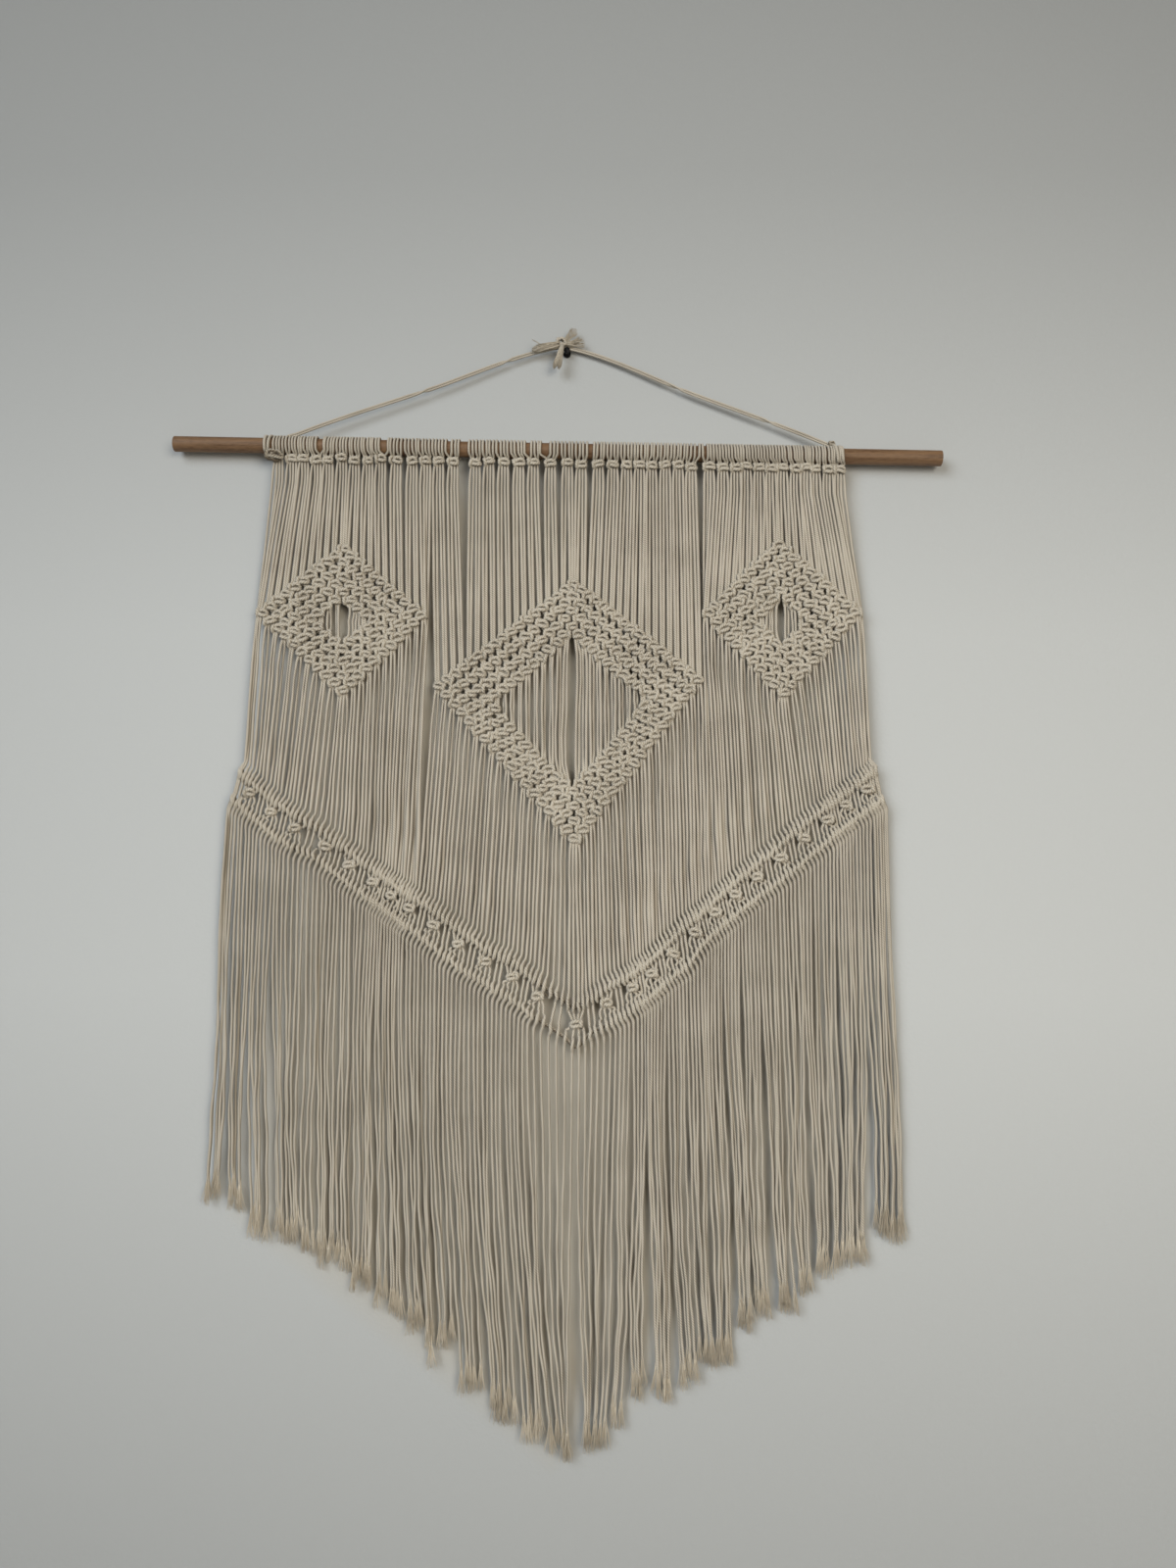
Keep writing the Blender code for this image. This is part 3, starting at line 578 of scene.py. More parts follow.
def wrap_places():
    """The places of the strings on top of the dowel, evenly spaced in each run.

    A string belongs to the run nearest to its own seat over the heading knots.
    """
    seats = np.arange(len(HEADING_X)) * STRINGS_PER_KNOT + MIDDLE_SLOT
    seat = np.interp(np.arange(STRINGS), seats, HEADING_X)
    borders = [(run[1] + after[0]) / 2 for run, after in zip(WRAP_RUNS, WRAP_RUNS[1:])]
    counts = np.bincount(np.searchsorted(borders, seat), minlength=len(WRAP_RUNS))
    return np.concatenate([a + (np.arange(n) + 0.5) * (b - a) / n for (a, b), n in zip(WRAP_RUNS, counts)])


def heading_places():
    """The middle of each heading knot as (x, z), a little uneven."""
    chance = np.random.default_rng(11)
    x = np.array(HEADING_X, float)
    return x, dowel_z(x) - HEADING_DROP + drift(chance, len(x), 1.6)


def string_route(string, chance):
    """One string's way from behind the dowel to the band's upper ridge, as points in millimetres.

    It goes round the dowel at the wound radius, is gathered in its heading knot, passes its
    diamond's knots from slot to slot and hangs straight between them. The fourth value of a point
    is the string's thickness there, as a share of a loose one's.
    """
    knot, slot = divmod(string, STRINGS_PER_KNOT)
    heading_x, heading_z = heading_places()
    cx, cz = heading_x[knot], heading_z[knot]
    places = wrap_places()
    group = places[knot * STRINGS_PER_KNOT : (knot + 1) * STRINGS_PER_KNOT]

    # Round the dowel, in radians from its top: it leans towards its knot all the way over the front,
    # and is gathered over the last half radian before it
    angle = np.radians(WRAP_ANGLES)
    lean = np.clip((angle + 1.0) / 3.8, 0, 1)
    gather = np.clip((angle - 2.3) / 0.55, 0, 1) ** 1.2
    foot = cx + WOUND_FEET[slot]
    aside = (cx - group.mean()) * 0.5 + stray(chance, 0.6)
    reach = DOWEL_RADIUS / MM + HALF_WOUND + stray(chance, 0.15)
    x = places[string] + stray(chance, 0.35) + aside * lean
    x = x + (foot - x) * gather
    around = DOWEL_Y / MM - reach * np.sin(angle), dowel_z(x) + reach * np.cos(angle)
    points = list(np.stack([x, *around, np.full(len(x), TIGHT)], -1))
    depth = (SIDE_DEPTH if slot in (0, 3) else INNER_DEPTH) + stray(chance, 0.8)
    hung = TAUT * (1 + stray(chance, 0.06))
    points += [(cx + spread(slot, width), y, cz + rise, TIGHT) for width, y, rise in HEADING_PASS]
    points += [(cx + spread(slot, width), depth, cz - drop, hung) for width, drop in HEADING_FOOT]

    # Through its diamond, where a jump of more than two rows is the window with its slot
    inside = [d for d in DIAMONDS.values() if 0 <= string - d["first"] < STRINGS_PER_KNOT * d["knots"]]
    diamond = inside[0] if inside else None
    if diamond:
        place = string - diamond["first"] - STRINGS_PER_KNOT // 2 * diamond["knots"]
        rows, kx, kz, slots = way_through(diamond, place)
        sx = kx + spread(slots, DIAMOND_SPREAD)
        (rise, y_in), (drop, y_out) = DIAMOND_PASS
        gap = np.flatnonzero(np.diff(rows) > 2)
        for n in range(len(rows)):
            points += [(sx[n], y_in, kz[n] + rise, LOOSE), (sx[n], y_out, kz[n] + drop, LOOSE)]
            if n in gap:
                end = np.array([sx[n], kz[n] + drop])
                start = np.array([sx[n + 1], kz[n + 1] + rise])
                for part in (0.12, 0.5, 0.88):
                    x, z = end + (start - end) * part
                    if place < 0:
                        x = min(x, diamond["slot"][0] - SLOT_MARGIN - WINDOW_STEP * (-1 - place))
                    else:
                        x = max(x, diamond["slot"][1] + SLOT_MARGIN + WINDOW_STEP * place)
                    points.append((x + stray(chance, 0.5), depth, z, hung))
        last = (kx[-1] + spread(slots[-1], DIAMOND_FOOT[0]), kz[-1] - DIAMOND_FOOT[1])
    else:
        last = PASSING[string]
    points.append((last[0], depth if diamond else PASSING_DEPTH, last[1], hung))

    # Straight down, then outwards and forward into its first hitch on the ridge
    x_end = crossing("upper")[string]
    z_end = ridge_z(UPPER_RIDGE, x_end)
    out = outwards(string)
    x_above = x_end - out * HITCH_LEAD
    for part in (0.3, 0.65):
        x = last[0] + (x_above - last[0]) * part + stray(chance, 0.55)
        points.append((x, depth, last[1] + (z_end + 15 - last[1]) * part, hung))
    points.append((x_above, depth * 0.6 - 5.4, z_end + ABOVE_RIDGE[0], hung))
    points.append((x_above + out * 0.5, BAND_DEPTH, z_end + ABOVE_RIDGE[1], TIGHT))
    points += [(x_end + out * step, y, z_end + rise, LOOSE) for step, y, rise in HITCH[:2]]
    return np.array(points)


def hitch_routes(ridge_name):
    """The hitches of all strings round one ridge's holding cord: the table's steps at each crossing,
    mirrored left of the point, with sizes, tilts, depths and heights a little uneven."""
    ridge = UPPER_RIDGE if ridge_name == "upper" else LOWER_RIDGE
    x = crossing(ridge_name)
    z = ridge_z(ridge, x)
    chance = np.random.default_rng(31 if ridge_name == "upper" else 32)
    size = 1 + drift(chance, (STRINGS, 1), 0.14)
    route = np.empty((STRINGS, len(HITCH), 3))
    route[..., 0] = x[:, None] + outwards(np.arange(STRINGS))[:, None] * HITCH[:, 0] * size
    route[..., 0] += drift(chance, (STRINGS, 1), 0.25) * HITCH[:, 2] * (np.abs(HITCH[:, 2]) < 5)
    route[..., 1] = HITCH[:, 1] + drift(chance, (STRINGS, 1), 0.8)
    route[..., 2] = z[:, None] + HITCH[:, 2] * size + drift(chance, (STRINGS, 1), 1.1)
    return route


# ---------------------------------------------------------------- knots


def square_knots(yarn, centres, size, seed, cord, steps=2, tilt=11.0, flipped=0.0):
    """Square knots at the centres (x, y, z) in millimetres, each of two cords, a little uneven.

    The size is their width, depth and height as shares of the plain knot's, cord is half the cord's
    width in metres, steps is the rings from point to point, tilt is the most that a knot turns, in
    degrees, and flipped is the share of knots tied the other way round.
    """
    chance = np.random.default_rng(seed)
    centres = np.asarray(centres, float)
    count = len(centres)
    both = np.stack([KNOT_BARS, KNOT_WRAP]) * size
    both = np.broadcast_to(both, (count, *both.shape)).copy()
    both *= 1 + drift(chance, (count, 1, 1, 3), 0.12)
    both[..., 0] *= np.where(chance.random((count, 1, 1)) < flipped, -1, 1)
    both += drift(chance, both.shape, 0.8) * size[0]
    turn = np.radians(drift(chance, count, tilt))[:, None, None]
    x = both[..., 0] * np.cos(turn) - both[..., 2] * np.sin(turn)
    z = both[..., 0] * np.sin(turn) + both[..., 2] * np.cos(turn)
    both[..., 0], both[..., 2] = x, z
    both += centres[:, None, None, :]
    lines = smooth(both.reshape(count * 2, -1, 3), steps)
    yarn.add(lines * MM, cord, sides=6, reference=TO_WALL)


# ---------------------------------------------------------------- materials


class Finish:
    """A new material with its node tree and shader, and short ways to add nodes to the tree."""

    def __init__(self, name, roughness):
        self.material = bpy.data.materials.new(name)
        self.material.use_nodes = True
        self.tree = self.material.node_tree
        self.shader = self.tree.nodes["Principled BSDF"]
        self.shader.inputs["Roughness"].default_value = roughness

    def node(self, kind, inputs=(), **settings):
        """A node with its settings made; each of its inputs gets a socket's link or a value."""
        made = self.tree.nodes.new("ShaderNode" + kind)
        for name, value in settings.items():
            setattr(made, name, value)
        for key, value in dict(inputs).items():
            if isinstance(value, bpy.types.NodeSocket):
                self.tree.links.new(value, made.inputs[key])
            else:
                made.inputs[key].default_value = value
        return made

    def place(self):
        """The place on the object."""
        return self.node("TexCoord").outputs["Object"]

    def split(self, vector):
        """The three parts of a vector."""
        return self.node("SeparateXYZ", {0: vector}).outputs

    def math(self, operation, *values):
        """The result of a math node on the values."""
        return self.node("Math", enumerate(values), operation=operation).outputs[0]

    def swing(self, value, middle, gain):
        """How far a value is above its middle, times the gain."""
        return self.math("MULTIPLY", self.math("SUBTRACT", value, middle), gain)

    def noise(self, vector, scale, detail):
        """Noise of that scale and detail, from 0 to 1."""
        return self.node("TexNoise", {"Vector": vector, "Scale": scale, "Detail": detail}).outputs["Fac"]

    def ramp(self, factor, stops):
        """A colour ramp through the stops (place, colour)."""
        made = self.node("ValToRGB", {"Fac": factor})
        elements = made.color_ramp.elements
        while len(elements) < len(stops):
            elements.new(0.5)
        for element, (place, colour) in zip(elements, stops):
            element.position = place
            element.color = (*colour, 1.0)
        return made.outputs["Color"]

    def cover(self, colour, height, distance):
        """Gives the shader its colour and a bump as high as the distance, in metres."""
        self.tree.links.new(colour, self.shader.inputs["Base Color"])
        bump = self.node("Bump", {"Height": height, "Distance": distance})
        self.tree.links.new(bump.outputs["Normal"], self.shader.inputs["Normal"])


def cotton_material(name, finish, ply_step, twist, painted_lift, front):
    """Twisted cotton: three plies wind round the cord as slanting ridges, with painted shade in the grooves
    between them and a painted highlight on their crests. It has a fine fuzz and slow changes of tone along
    the hanging. The cord is painted palest at the turn that faces the room and greyer on its sides and back,
    as painted shade."""
    made = Finish(name, 0.92)
    place = made.place()
    turn, length, _ = made.split(made.node("UVMap", uv_map="along").outputs["UV"])
    plies = made.math("MULTIPLY", turn, PLIES * 2 * math.pi)
    climb = made.math("MULTIPLY", length, 2 * math.pi / ply_step)
    wave = made.math("SINE", made.math("ADD", plies, climb))
    ply = made.math("MULTIPLY_ADD", wave, 0.5, 0.5)
    fuzz = made.noise(place, FUZZ_SCALE, 3.0)
    slow = made.noise(place, TONE_SCALE, 2.0)
    # Painted shade: the cord is darker on its sides and back than on the turn that faces the room.
    painted_side_shade = made.math("COSINE", made.math("MULTIPLY", made.math("SUBTRACT", turn, front), 2 * math.pi))
    tone = made.math("ADD", made.math("MULTIPLY", ply, 0.5 * twist), 0.6 - 0.25 * twist)
    for part, middle, gain in ((fuzz, 0.5, 0.55), (slow, 0.5, 0.5), (painted_side_shade, 0.4, 0.48 * twist)):
        tone = made.math("ADD", tone, made.swing(part, middle, gain))
    # Painted shade and highlight: the ramp is darker in the grooves between the plies and lighter on their
    # crests. For some cords the whole ramp is painted lighter or darker, as painted light or shade.
    shade = tuple(c * painted_lift**2 for c in finish.cotton_painted_shade)
    middle, light = (tuple(c * painted_lift for c in colour) for colour in (finish.cotton, finish.cotton_painted_highlight))
    colour = made.ramp(tone, ((0.12, shade), (0.5, middle), (0.9, light)))
    height = made.math("ADD", made.math("MULTIPLY", ply, twist), made.math("MULTIPLY", fuzz, 0.5))
    made.cover(colour, height, PLY_BUMP)
    made.shader.inputs["Sheen Weight"].default_value = 0.25
    made.shader.inputs["Sheen Roughness"].default_value = 0.6
    made.shader.inputs["Specular IOR Level"].default_value = 0.2
    return made.material


def beech_material(finish):
    """Bare beech: long growth lines along the dowel, bent by slow noise, and short darker flecks."""
    made = Finish("beech", 0.55)
    place = made.place()
    along = made.node("Mapping", {"Vector": place, "Scale": (6.0, 90.0, 90.0)}).outputs["Vector"]
    lines = made.noise(along, 2.2, 4.0)
    short = made.node("Mapping", {"Vector": place, "Scale": (120.0, 900.0, 900.0)}).outputs["Vector"]
    flecks = made.noise(short, 1.0, 2.0)
    tone = made.math("ADD", lines, made.swing(flecks, 0.5, 0.6))
    light = tuple(min(1.0, c * 1.25) for c in finish.wood)
    made.cover(made.ramp(tone, ((0.3, finish.wood_grain), (0.5, finish.wood), (0.72, light))), tone, 0.0003)
    return made.material


def black_material():
    """Black coated steel with a little unevenness in its gloss."""
    made = Finish("black_metal", 0.35)
    grain = made.noise(made.place(), 900.0, 2.0)
    made.cover(made.ramp(grain, ((0.3, (0.008, 0.008, 0.009)), (0.7, (0.03, 0.03, 0.032)))), grain, 0.0001)
    made.shader.inputs["Metallic"].default_value = 0.6
    return made.material


def wall_material(finish):
    """Painted wall: grey, painted a little darker well above and below the hanging as painted shade where
    the lamps' light falls off, and painted a little warmer behind it as painted bounce light from the
    cotton. It has a faint roller texture and is seen from the front only.

    How far a place is outside the hanging is the largest of its distances past the outline's top, sides and
    lower edge. The painted warm bounce light fades over 8 cm there.
    """
    made = Finish("wall_paint", 0.85)
    place = made.place()
    across, _, up = made.split(place)
    # Painted shade: the wall is darker well above and below the hanging, where the lamps' light falls off.
    height = made.math("MULTIPLY_ADD", up, 0.4, 0.8)
    painted_falloff_tones = ((0.2, 0.66), (0.5, 1.0), (0.66, 1.0), (0.9, 0.77))
    paint = made.ramp(height, [(at, tuple(c * share for c in finish.wall)) for at, share in painted_falloff_tones])
    # The mask of the painted bounce light: how far a place lies outside the hanging's outline.
    sideways = made.math("ABSOLUTE", across)
    below = made.math("SUBTRACT", made.math("MULTIPLY", sideways, OUTLINE_CLIMB), OUTLINE_FOOT)
    below = made.math("SUBTRACT", below, up)
    outside = made.math("MAXIMUM", below, made.math("ADD", up, OUTLINE_TOP))
    outside = made.math("MAXIMUM", outside, made.math("SUBTRACT", sideways, OUTLINE_SIDE))
    outside = made.math("MULTIPLY_ADD", outside, 6.0, 0.5)
    # Painted bounce light: a warm tint behind the hanging, fading to none outside it.
    painted_bounce_warmth = made.ramp(outside, ((0.25, (1.0, 0.90, 0.76)), (0.75, (1.0, 1.0, 1.0))))
    colour = made.node("VectorMath", {0: paint, 1: painted_bounce_warmth}, operation="MULTIPLY").outputs["Vector"]
    made.cover(colour, made.noise(place, 240.0, 3.0), 0.0003)
    clear = made.node("BsdfTransparent").outputs["BSDF"]
    behind = made.node("NewGeometry").outputs["Backfacing"]
    mixed = made.node("MixShader", {"Fac": behind, 1: made.shader.outputs["BSDF"], 2: clear})
    made.tree.links.new(mixed.outputs["Shader"], made.tree.nodes["Material Output"].inputs["Surface"])
    return made.material


def cotton(name="cotton_string", twist=1.0, painted_lift=1.0, front=0.25):
    """The cotton of that name, made once: how clear its painted plies and painted side shade are, how far
    its colours are painted lighter or darker, as painted light or shade, and the turn round the cord that
    faces the room and is painted palest."""
    scene = bpy.context.scene
    step = scene.macrame_cord.ply_step
    found = bpy.data.materials.get(name + "_finish")
    return found or cotton_material(name + "_finish", scene.macrame_finish, step, twist, painted_lift, front)


def knot_cotton():
    """The cotton of the cords whose first normal points to the wall."""
    return cotton("cotton_knot", front=0.5)


# ---------------------------------------------------------------- operators


class MACRAME_OT_hanging_cord(bpy.types.Operator):
    """Stretch the two strands of each leg from the tie above the screw to the dowel.

    The strands lie on two sides of the leg's middle line. At each crossing the pair makes half a
    turn round it, by the smooth step 1 / (1 + exp(-distance / 3 mm))."""

    bl_idname = "macrame.hanging_cord"
    bl_label = "Hanging Cord"

    def execute(self, context):
        for side, route in LEG_ROUTES.items():
            line = smooth(np.array(route), 12)
            along = unit(np.gradient(line, axis=0))
            across = unit(np.cross(along, TO_WALL))
            if across[0, 2] < 0:
                across = -across
            past = [np.abs(line[:, 0]) - abs(place) for place in STRAND_CROSSINGS[side]]
            turn = np.pi * sum(1 / (1 + np.exp(-distance / 3.0)) for distance in past)
            offset = across * np.cos(turn)[:, None] - np.array(TO_WALL) * np.sin(turn)[:, None]
            offset = STRAND_OFFSET * offset
            for name, way in (("upper", 1), ("lower", -1)):
                path = (line + way * offset) * MM
                yarn = Yarn(41)
                yarn.add(path, STRAND_RADIUS * MM, sides=8, reference=TO_WALL)
                piece = yarn.finish(f"strand_{side}_{name}", knot_cotton())
                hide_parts(f"hanger_{side}_{name}")
        return {"FINISHED"}


class MACRAME_OT_panel_strings(bpy.types.Operator):
    """Hang the strings of the three panels, from the dowel to the band."""

    bl_idname = "macrame.panel_strings"
    bl_label = "Panel Strings"

    def execute(self, context):
        cord = context.scene.macrame_cord
        chance = np.random.default_rng(3)
        for panel, (first, last, wraps) in PANELS.items():
            yarn, lengths = Yarn(5), []
            for string in range(first, last):
                line = smooth(string_route(string, chance), 2)
                lengths.append(np.linalg.norm(np.diff(line[:, :3], axis=0), axis=1).sum() * MM)
                width = cord.radius * line[:, 3] * (1 + stray(chance, 0.05))
                yarn.add(line[:, :3] * MM, width, sides=cord.sides)
            piece = yarn.finish(f"strings_{panel}", cotton())
            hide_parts(*(f"wraps_{n}" for n in wraps))
            for part in ("strings_upper", "strings_lower", "window"):
                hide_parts(f"{part}_{panel}_left", f"{part}_{panel}_right")
        return {"FINISHED"}


class MACRAME_OT_heading_knots(bpy.types.Operator):
    """Tie the row of knots under the dowel."""

    bl_idname = "macrame.heading_knots"
    bl_label = "Heading Knots"

    def execute(self, context):
        x, z = heading_places()
        yarn = Yarn(7)
        centres = np.stack([x[1:], np.full(len(x) - 1, HEADING_DEPTH), z[1:]], -1)
        cord = context.scene.macrame_cord.knot_cord * 0.95
        square_knots(yarn, centres, size=(0.98, 0.95, 1.08), seed=17, cord=cord)
        piece = yarn.finish("heading_knots", knot_cotton())
        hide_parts("strings_upper_left_left")
        return {"FINISHED"}


class MACRAME_OT_diamond_knots(bpy.types.Operator):
    """Tie the alternating square knots of the three diamonds."""

    bl_idname = "macrame.diamond_knots"
    bl_label = "Diamond Knots"

    def execute(self, context):
        for seed, (name, diamond) in enumerate(DIAMONDS.items()):
            yarn = Yarn(60 + seed)
            knots = knots_of(diamond)
            centres = np.stack([knots[:, 0], np.full(len(knots), DIAMOND_DEPTH), knots[:, 1]], -1)
            cord, size = context.scene.macrame_cord.knot_cord, (1.04, 1.0, 1.22)
            square_knots(yarn, centres, size, seed=70 + seed, cord=cord, tilt=22.0, flipped=0.35)
            piece = yarn.finish(f"knots_{name}", knot_cotton())
            if name == "middle":
                sides = ("upper_left", "lower_left", "lower_right", "upper_right")
                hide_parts(*(f"diamond_middle_{side}" for side in sides))
            else:
                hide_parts(f"diamond_{name}")
        return {"FINISHED"}


class MACRAME_OT_ridges(bpy.types.Operator):
    """Hitch every string twice round the holding cord of each ridge."""

    bl_idname = "macrame.ridges"
    bl_label = "Ridges"

    def execute(self, context):
        cord = context.scene.macrame_cord
        for name, ridge in (("upper", UPPER_RIDGE), ("lower", LOWER_RIDGE)):
            yarn = Yarn(81)
            yarn.add(smooth(hitch_routes(name), 2) * MM, cord.radius * 0.85, sides=cord.sides)
            rows = np.array(ridge)
            held = np.stack([rows[:, 0], np.full(len(rows), HOLDING_Y), rows[:, 1]], -1)
            held = held[(held[:, 0] > BAND_ENDS[0] - 8) & (held[:, 0] < BAND_ENDS[1] + 4)]
            yarn.add(smooth(held, 4) * MM, cord.radius, sides=cord.sides, reference=TO_WALL)
            piece = yarn.finish(f"ridge_{name}", cotton())
            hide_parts(f"ridge_{name}_left", f"ridge_{name}_right")
        return {"FINISHED"}


def band_routes(chance, knots, knot_z):
    """The strings from ridge to ridge: sideways by the smooth step t t (3 - 2 t), downwards evenly.

    A string that belongs to a knot runs to its seat there instead, leaves it round a small eye and
    comes back to its place on the lower ridge.
    """
    upper, lower = crossing("upper"), crossing("lower")
    strings = np.arange(STRINGS)
    out = outwards(strings)
    start_x, start_z = upper + out * 2.2, ridge_z(UPPER_RIDGE, upper) - 5.6
    end_x, end_z = lower - out * 1.8, ridge_z(LOWER_RIDGE, lower) + 7.4
    route = np.empty((STRINGS, len(BAND_PARTS), 3))
    for step, part in enumerate(BAND_PARTS):
        bend = part * part * (3 - 2 * part)
        route[:, step, 0] = start_x * (1 - bend) + end_x * bend
        route[:, step, 1] = BAND_DEPTH + drift(chance, STRINGS, 0.5)
        route[:, step, 2] = start_z * (1 - part) + end_z * part
    seat = strings - (MIDDLE_STRING - STRINGS_PER_BAND_KNOT * (len(knots) - 1) / 2) + MIDDLE_SLOT
    owner = np.floor(seat / STRINGS_PER_BAND_KNOT).astype(int)
    slot = seat % STRINGS_PER_BAND_KNOT
    knotted = (slot < STRINGS_PER_KNOT) & (owner >= 0) & (owner < len(knots))
    owner = np.clip(owner, 0, len(knots) - 1)
    x, z = knots[owner], knot_z[owner]
    side = slot - MIDDLE_SLOT
    eye = np.where(np.abs(side) > 1, OUTER_EYE, INNER_EYE) * np.sign(side)
    for step, width, height in BAND_PASS:
        route[knotted, step, 0] = (x + side * width)[knotted]
        route[knotted, step, 2] = (z + height)[knotted]
    route[knotted, 1] = (route[knotted, 0] + route[knotted, 2]) / 2
    for step, wide, swing, low in BAND_EYE:
        route[knotted, step, 0] = (x + eye * wide + out * swing)[knotted]
        route[knotted, step, 2] = (z * (1 - low) + end_z * low)[knotted]
    route[knotted, 7, 0] = (end_x * 0.7 + (x + lower) / 2 * 0.3)[knotted]
    return route


class MACRAME_OT_band(bpy.types.Operator):
    """Run the strings from ridge to ridge, with a small knot on every four and plain pairs between."""

    bl_idname = "macrame.band"
    bl_label = "Band"

    def execute(self, context):
        cord = context.scene.macrame_cord
        knots = np.array(BAND_KNOTS, float)
        knot_z = ridge_z(UPPER_RIDGE, knots)
        knot_z = knot_z + 0.40 * (ridge_z(LOWER_RIDGE, knots) - knot_z)
        yarn = Yarn(92)
        route = band_routes(np.random.default_rng(91), knots, knot_z)
        yarn.add(smooth(route, 2) * MM, cord.radius * 0.80, sides=cord.sides)
        piece = yarn.finish("band_strings", cotton())
        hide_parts("band_left", "band_right")
        yarn = Yarn(93)
        centres = np.stack([knots, np.full(len(knots), BAND_DEPTH), knot_z], -1)
        size = (0.92, 0.95, 1.05)
        square_knots(yarn, centres, size, seed=94, cord=cord.knot_cord, tilt=14, flipped=0.5)
        piece = yarn.finish("band_knots", knot_cotton())
        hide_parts("band_centre_knot")
        return {"FINISHED"}


def fringe_ends():
    """Where each fringe string ends, as (x, z) in millimetres, spread over its bunch's foot."""
    chance = np.random.default_rng(101)
    x, z = [], []
    for count, low, high, end in BUNCHES:
        x.append(low + (np.arange(count) + 0.5) * (high - low) / count)
        z.append(np.full(count, float(end)))
    x, z = np.concatenate(x), np.concatenate(z)
    return x + drift(chance, STRINGS, 2.4), z + drift(chance, STRINGS, 8.0)


def fringe_routes(fray):
    """The fringe strings, from the lower ridge to where their ends open, in millimetres.

    Each leaves its hitch outwards and hangs down to its end, sideways by the share of the way to the
    power 1.7. It wanders by a slow sine wave of its bunch, a quicker one and a small fast one of its
    own, and all three fade at both ends.
    """
    chance = np.random.default_rng(102)
    x0 = crossing("lower")
    z0 = ridge_z(LOWER_RIDGE, x0)
    out = outwards(np.arange(STRINGS))
    x1, z1 = fringe_ends()
    z1 = z1 + fray
    bunch = np.repeat(np.arange(len(BUNCHES)), [b[0] for b in BUNCHES])
    share_phase = drift(chance, len(BUNCHES), np.pi)[bunch]
    own_phase = drift(chance, STRINGS, np.pi)
    depth = FRINGE_DEPTH + drift(chance, STRINGS, 2.2)
    start = [
        np.stack([x0 + out * step, np.full(STRINGS, y), z0 + rise], -1) for step, y, rise in FRINGE_LEAVE
    ]
    below = FRINGE_LEAVE[-1][2]
    part = np.linspace(0, 1, 37)[1:]
    x_from = (x0 + out * 5.1)[:, None]
    shared, own = share_phase[:, None], own_phase[:, None]
    (bunch_size, bunch_speed), (own_size, own_speed) = BUNCH_WAVE, OWN_WAVE
    wander = bunch_size * np.sin(bunch_speed * part + shared)
    wander = wander + own_size * np.sin((own_speed + own) * part + own)
    wander = wander + (0.25 + 0.8 * part**3) * np.sin((34.0 + 3 * own) * part + 5 * own)
    hang = np.empty((STRINGS, len(part), 3))
    hang[..., 0] = x_from + (x1[:, None] - x_from) * part**1.7 + wander * np.sin(np.pi * part**1.6) ** 0.6
    hang[..., 1] = depth[:, None] + 4.0 * part + 1.3 * np.sin(6.0 * part + own * 3) * np.sin(np.pi * part)
    hang[..., 2] = (z0 + below)[:, None] + (z1 - z0 - below)[:, None] * part
    return np.concatenate([np.stack(start, 1), hang], 1)


class MACRAME_OT_fringe(bpy.types.Operator):
    """Hang the fringe from the lower ridge, and open the ends of its strings."""

    bl_idname = "macrame.fringe"
    bl_label = "Fringe"

    def execute(self, context):
        cord = context.scene.macrame_cord
        chance = np.random.default_rng(111)
        routes = smooth(fringe_routes(cord.fray / MM), 2)
        for side, half in zip(("left", "right"), np.split(routes, 2)):
            lines = half * MM
            width = cord.radius * (1 + drift(chance, (len(lines), 1), 0.06)) * np.full(lines.shape[1], THIN)
            width[:, :6] *= LOOSE / THIN
            width[:, -2:] *= (0.85, 0.4)
            yarn = Yarn(112)
            yarn.add(lines, width, sides=cord.sides)
            # Painted shade: the fringe's cotton is a darker copy with fainter plies, standing in for light
            # that falls off towards the bottom.
            piece = yarn.finish(f"fringe_{side}_strings", cotton("cotton_fringe_painted_shade", 0.8, 0.9))
            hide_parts(f"fringe_{side}")
            yarn = Yarn(113)
            ends = lines[:, -1]
            heading = unit(unit(lines[:, -1] - lines[:, -4]) + (0, 0, -1.0))
            fray(yarn, ends, heading, cord.fray, cord.radius * TAUT, cord.fibres, chance)
            # Painted light: the frayed ends' cotton is a lighter copy without plies, against the shade that
            # the thin fibres cast on each other.
            piece = yarn.finish(f"fringe_{side}_ends", cotton("cotton_fray_painted_light", 0.0, 1.5))
            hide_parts(f"fringe_{side}")
        return {"FINISHED"}


def fibres(yarn, roots, headings, tips, thick):
    """Loose fibres from roots to tips: each starts along its heading and bends towards its tip, as
    the quadratic curve through them whose middle control point lies half its length along the heading."""
    length = np.linalg.norm(tips - roots, axis=-1, keepdims=True)
    middle = roots + headings * length * 0.5
    t = np.array((0.0, 0.35, 0.7, 1.0))[:, None]
    lines = roots[:, None] * (1 - t) ** 2 + 2 * middle[:, None] * t * (1 - t) + tips[:, None] * t**2
    yarn.add(lines, np.array((1.0, 0.95, 0.85, 0.6)) * thick, sides=3)


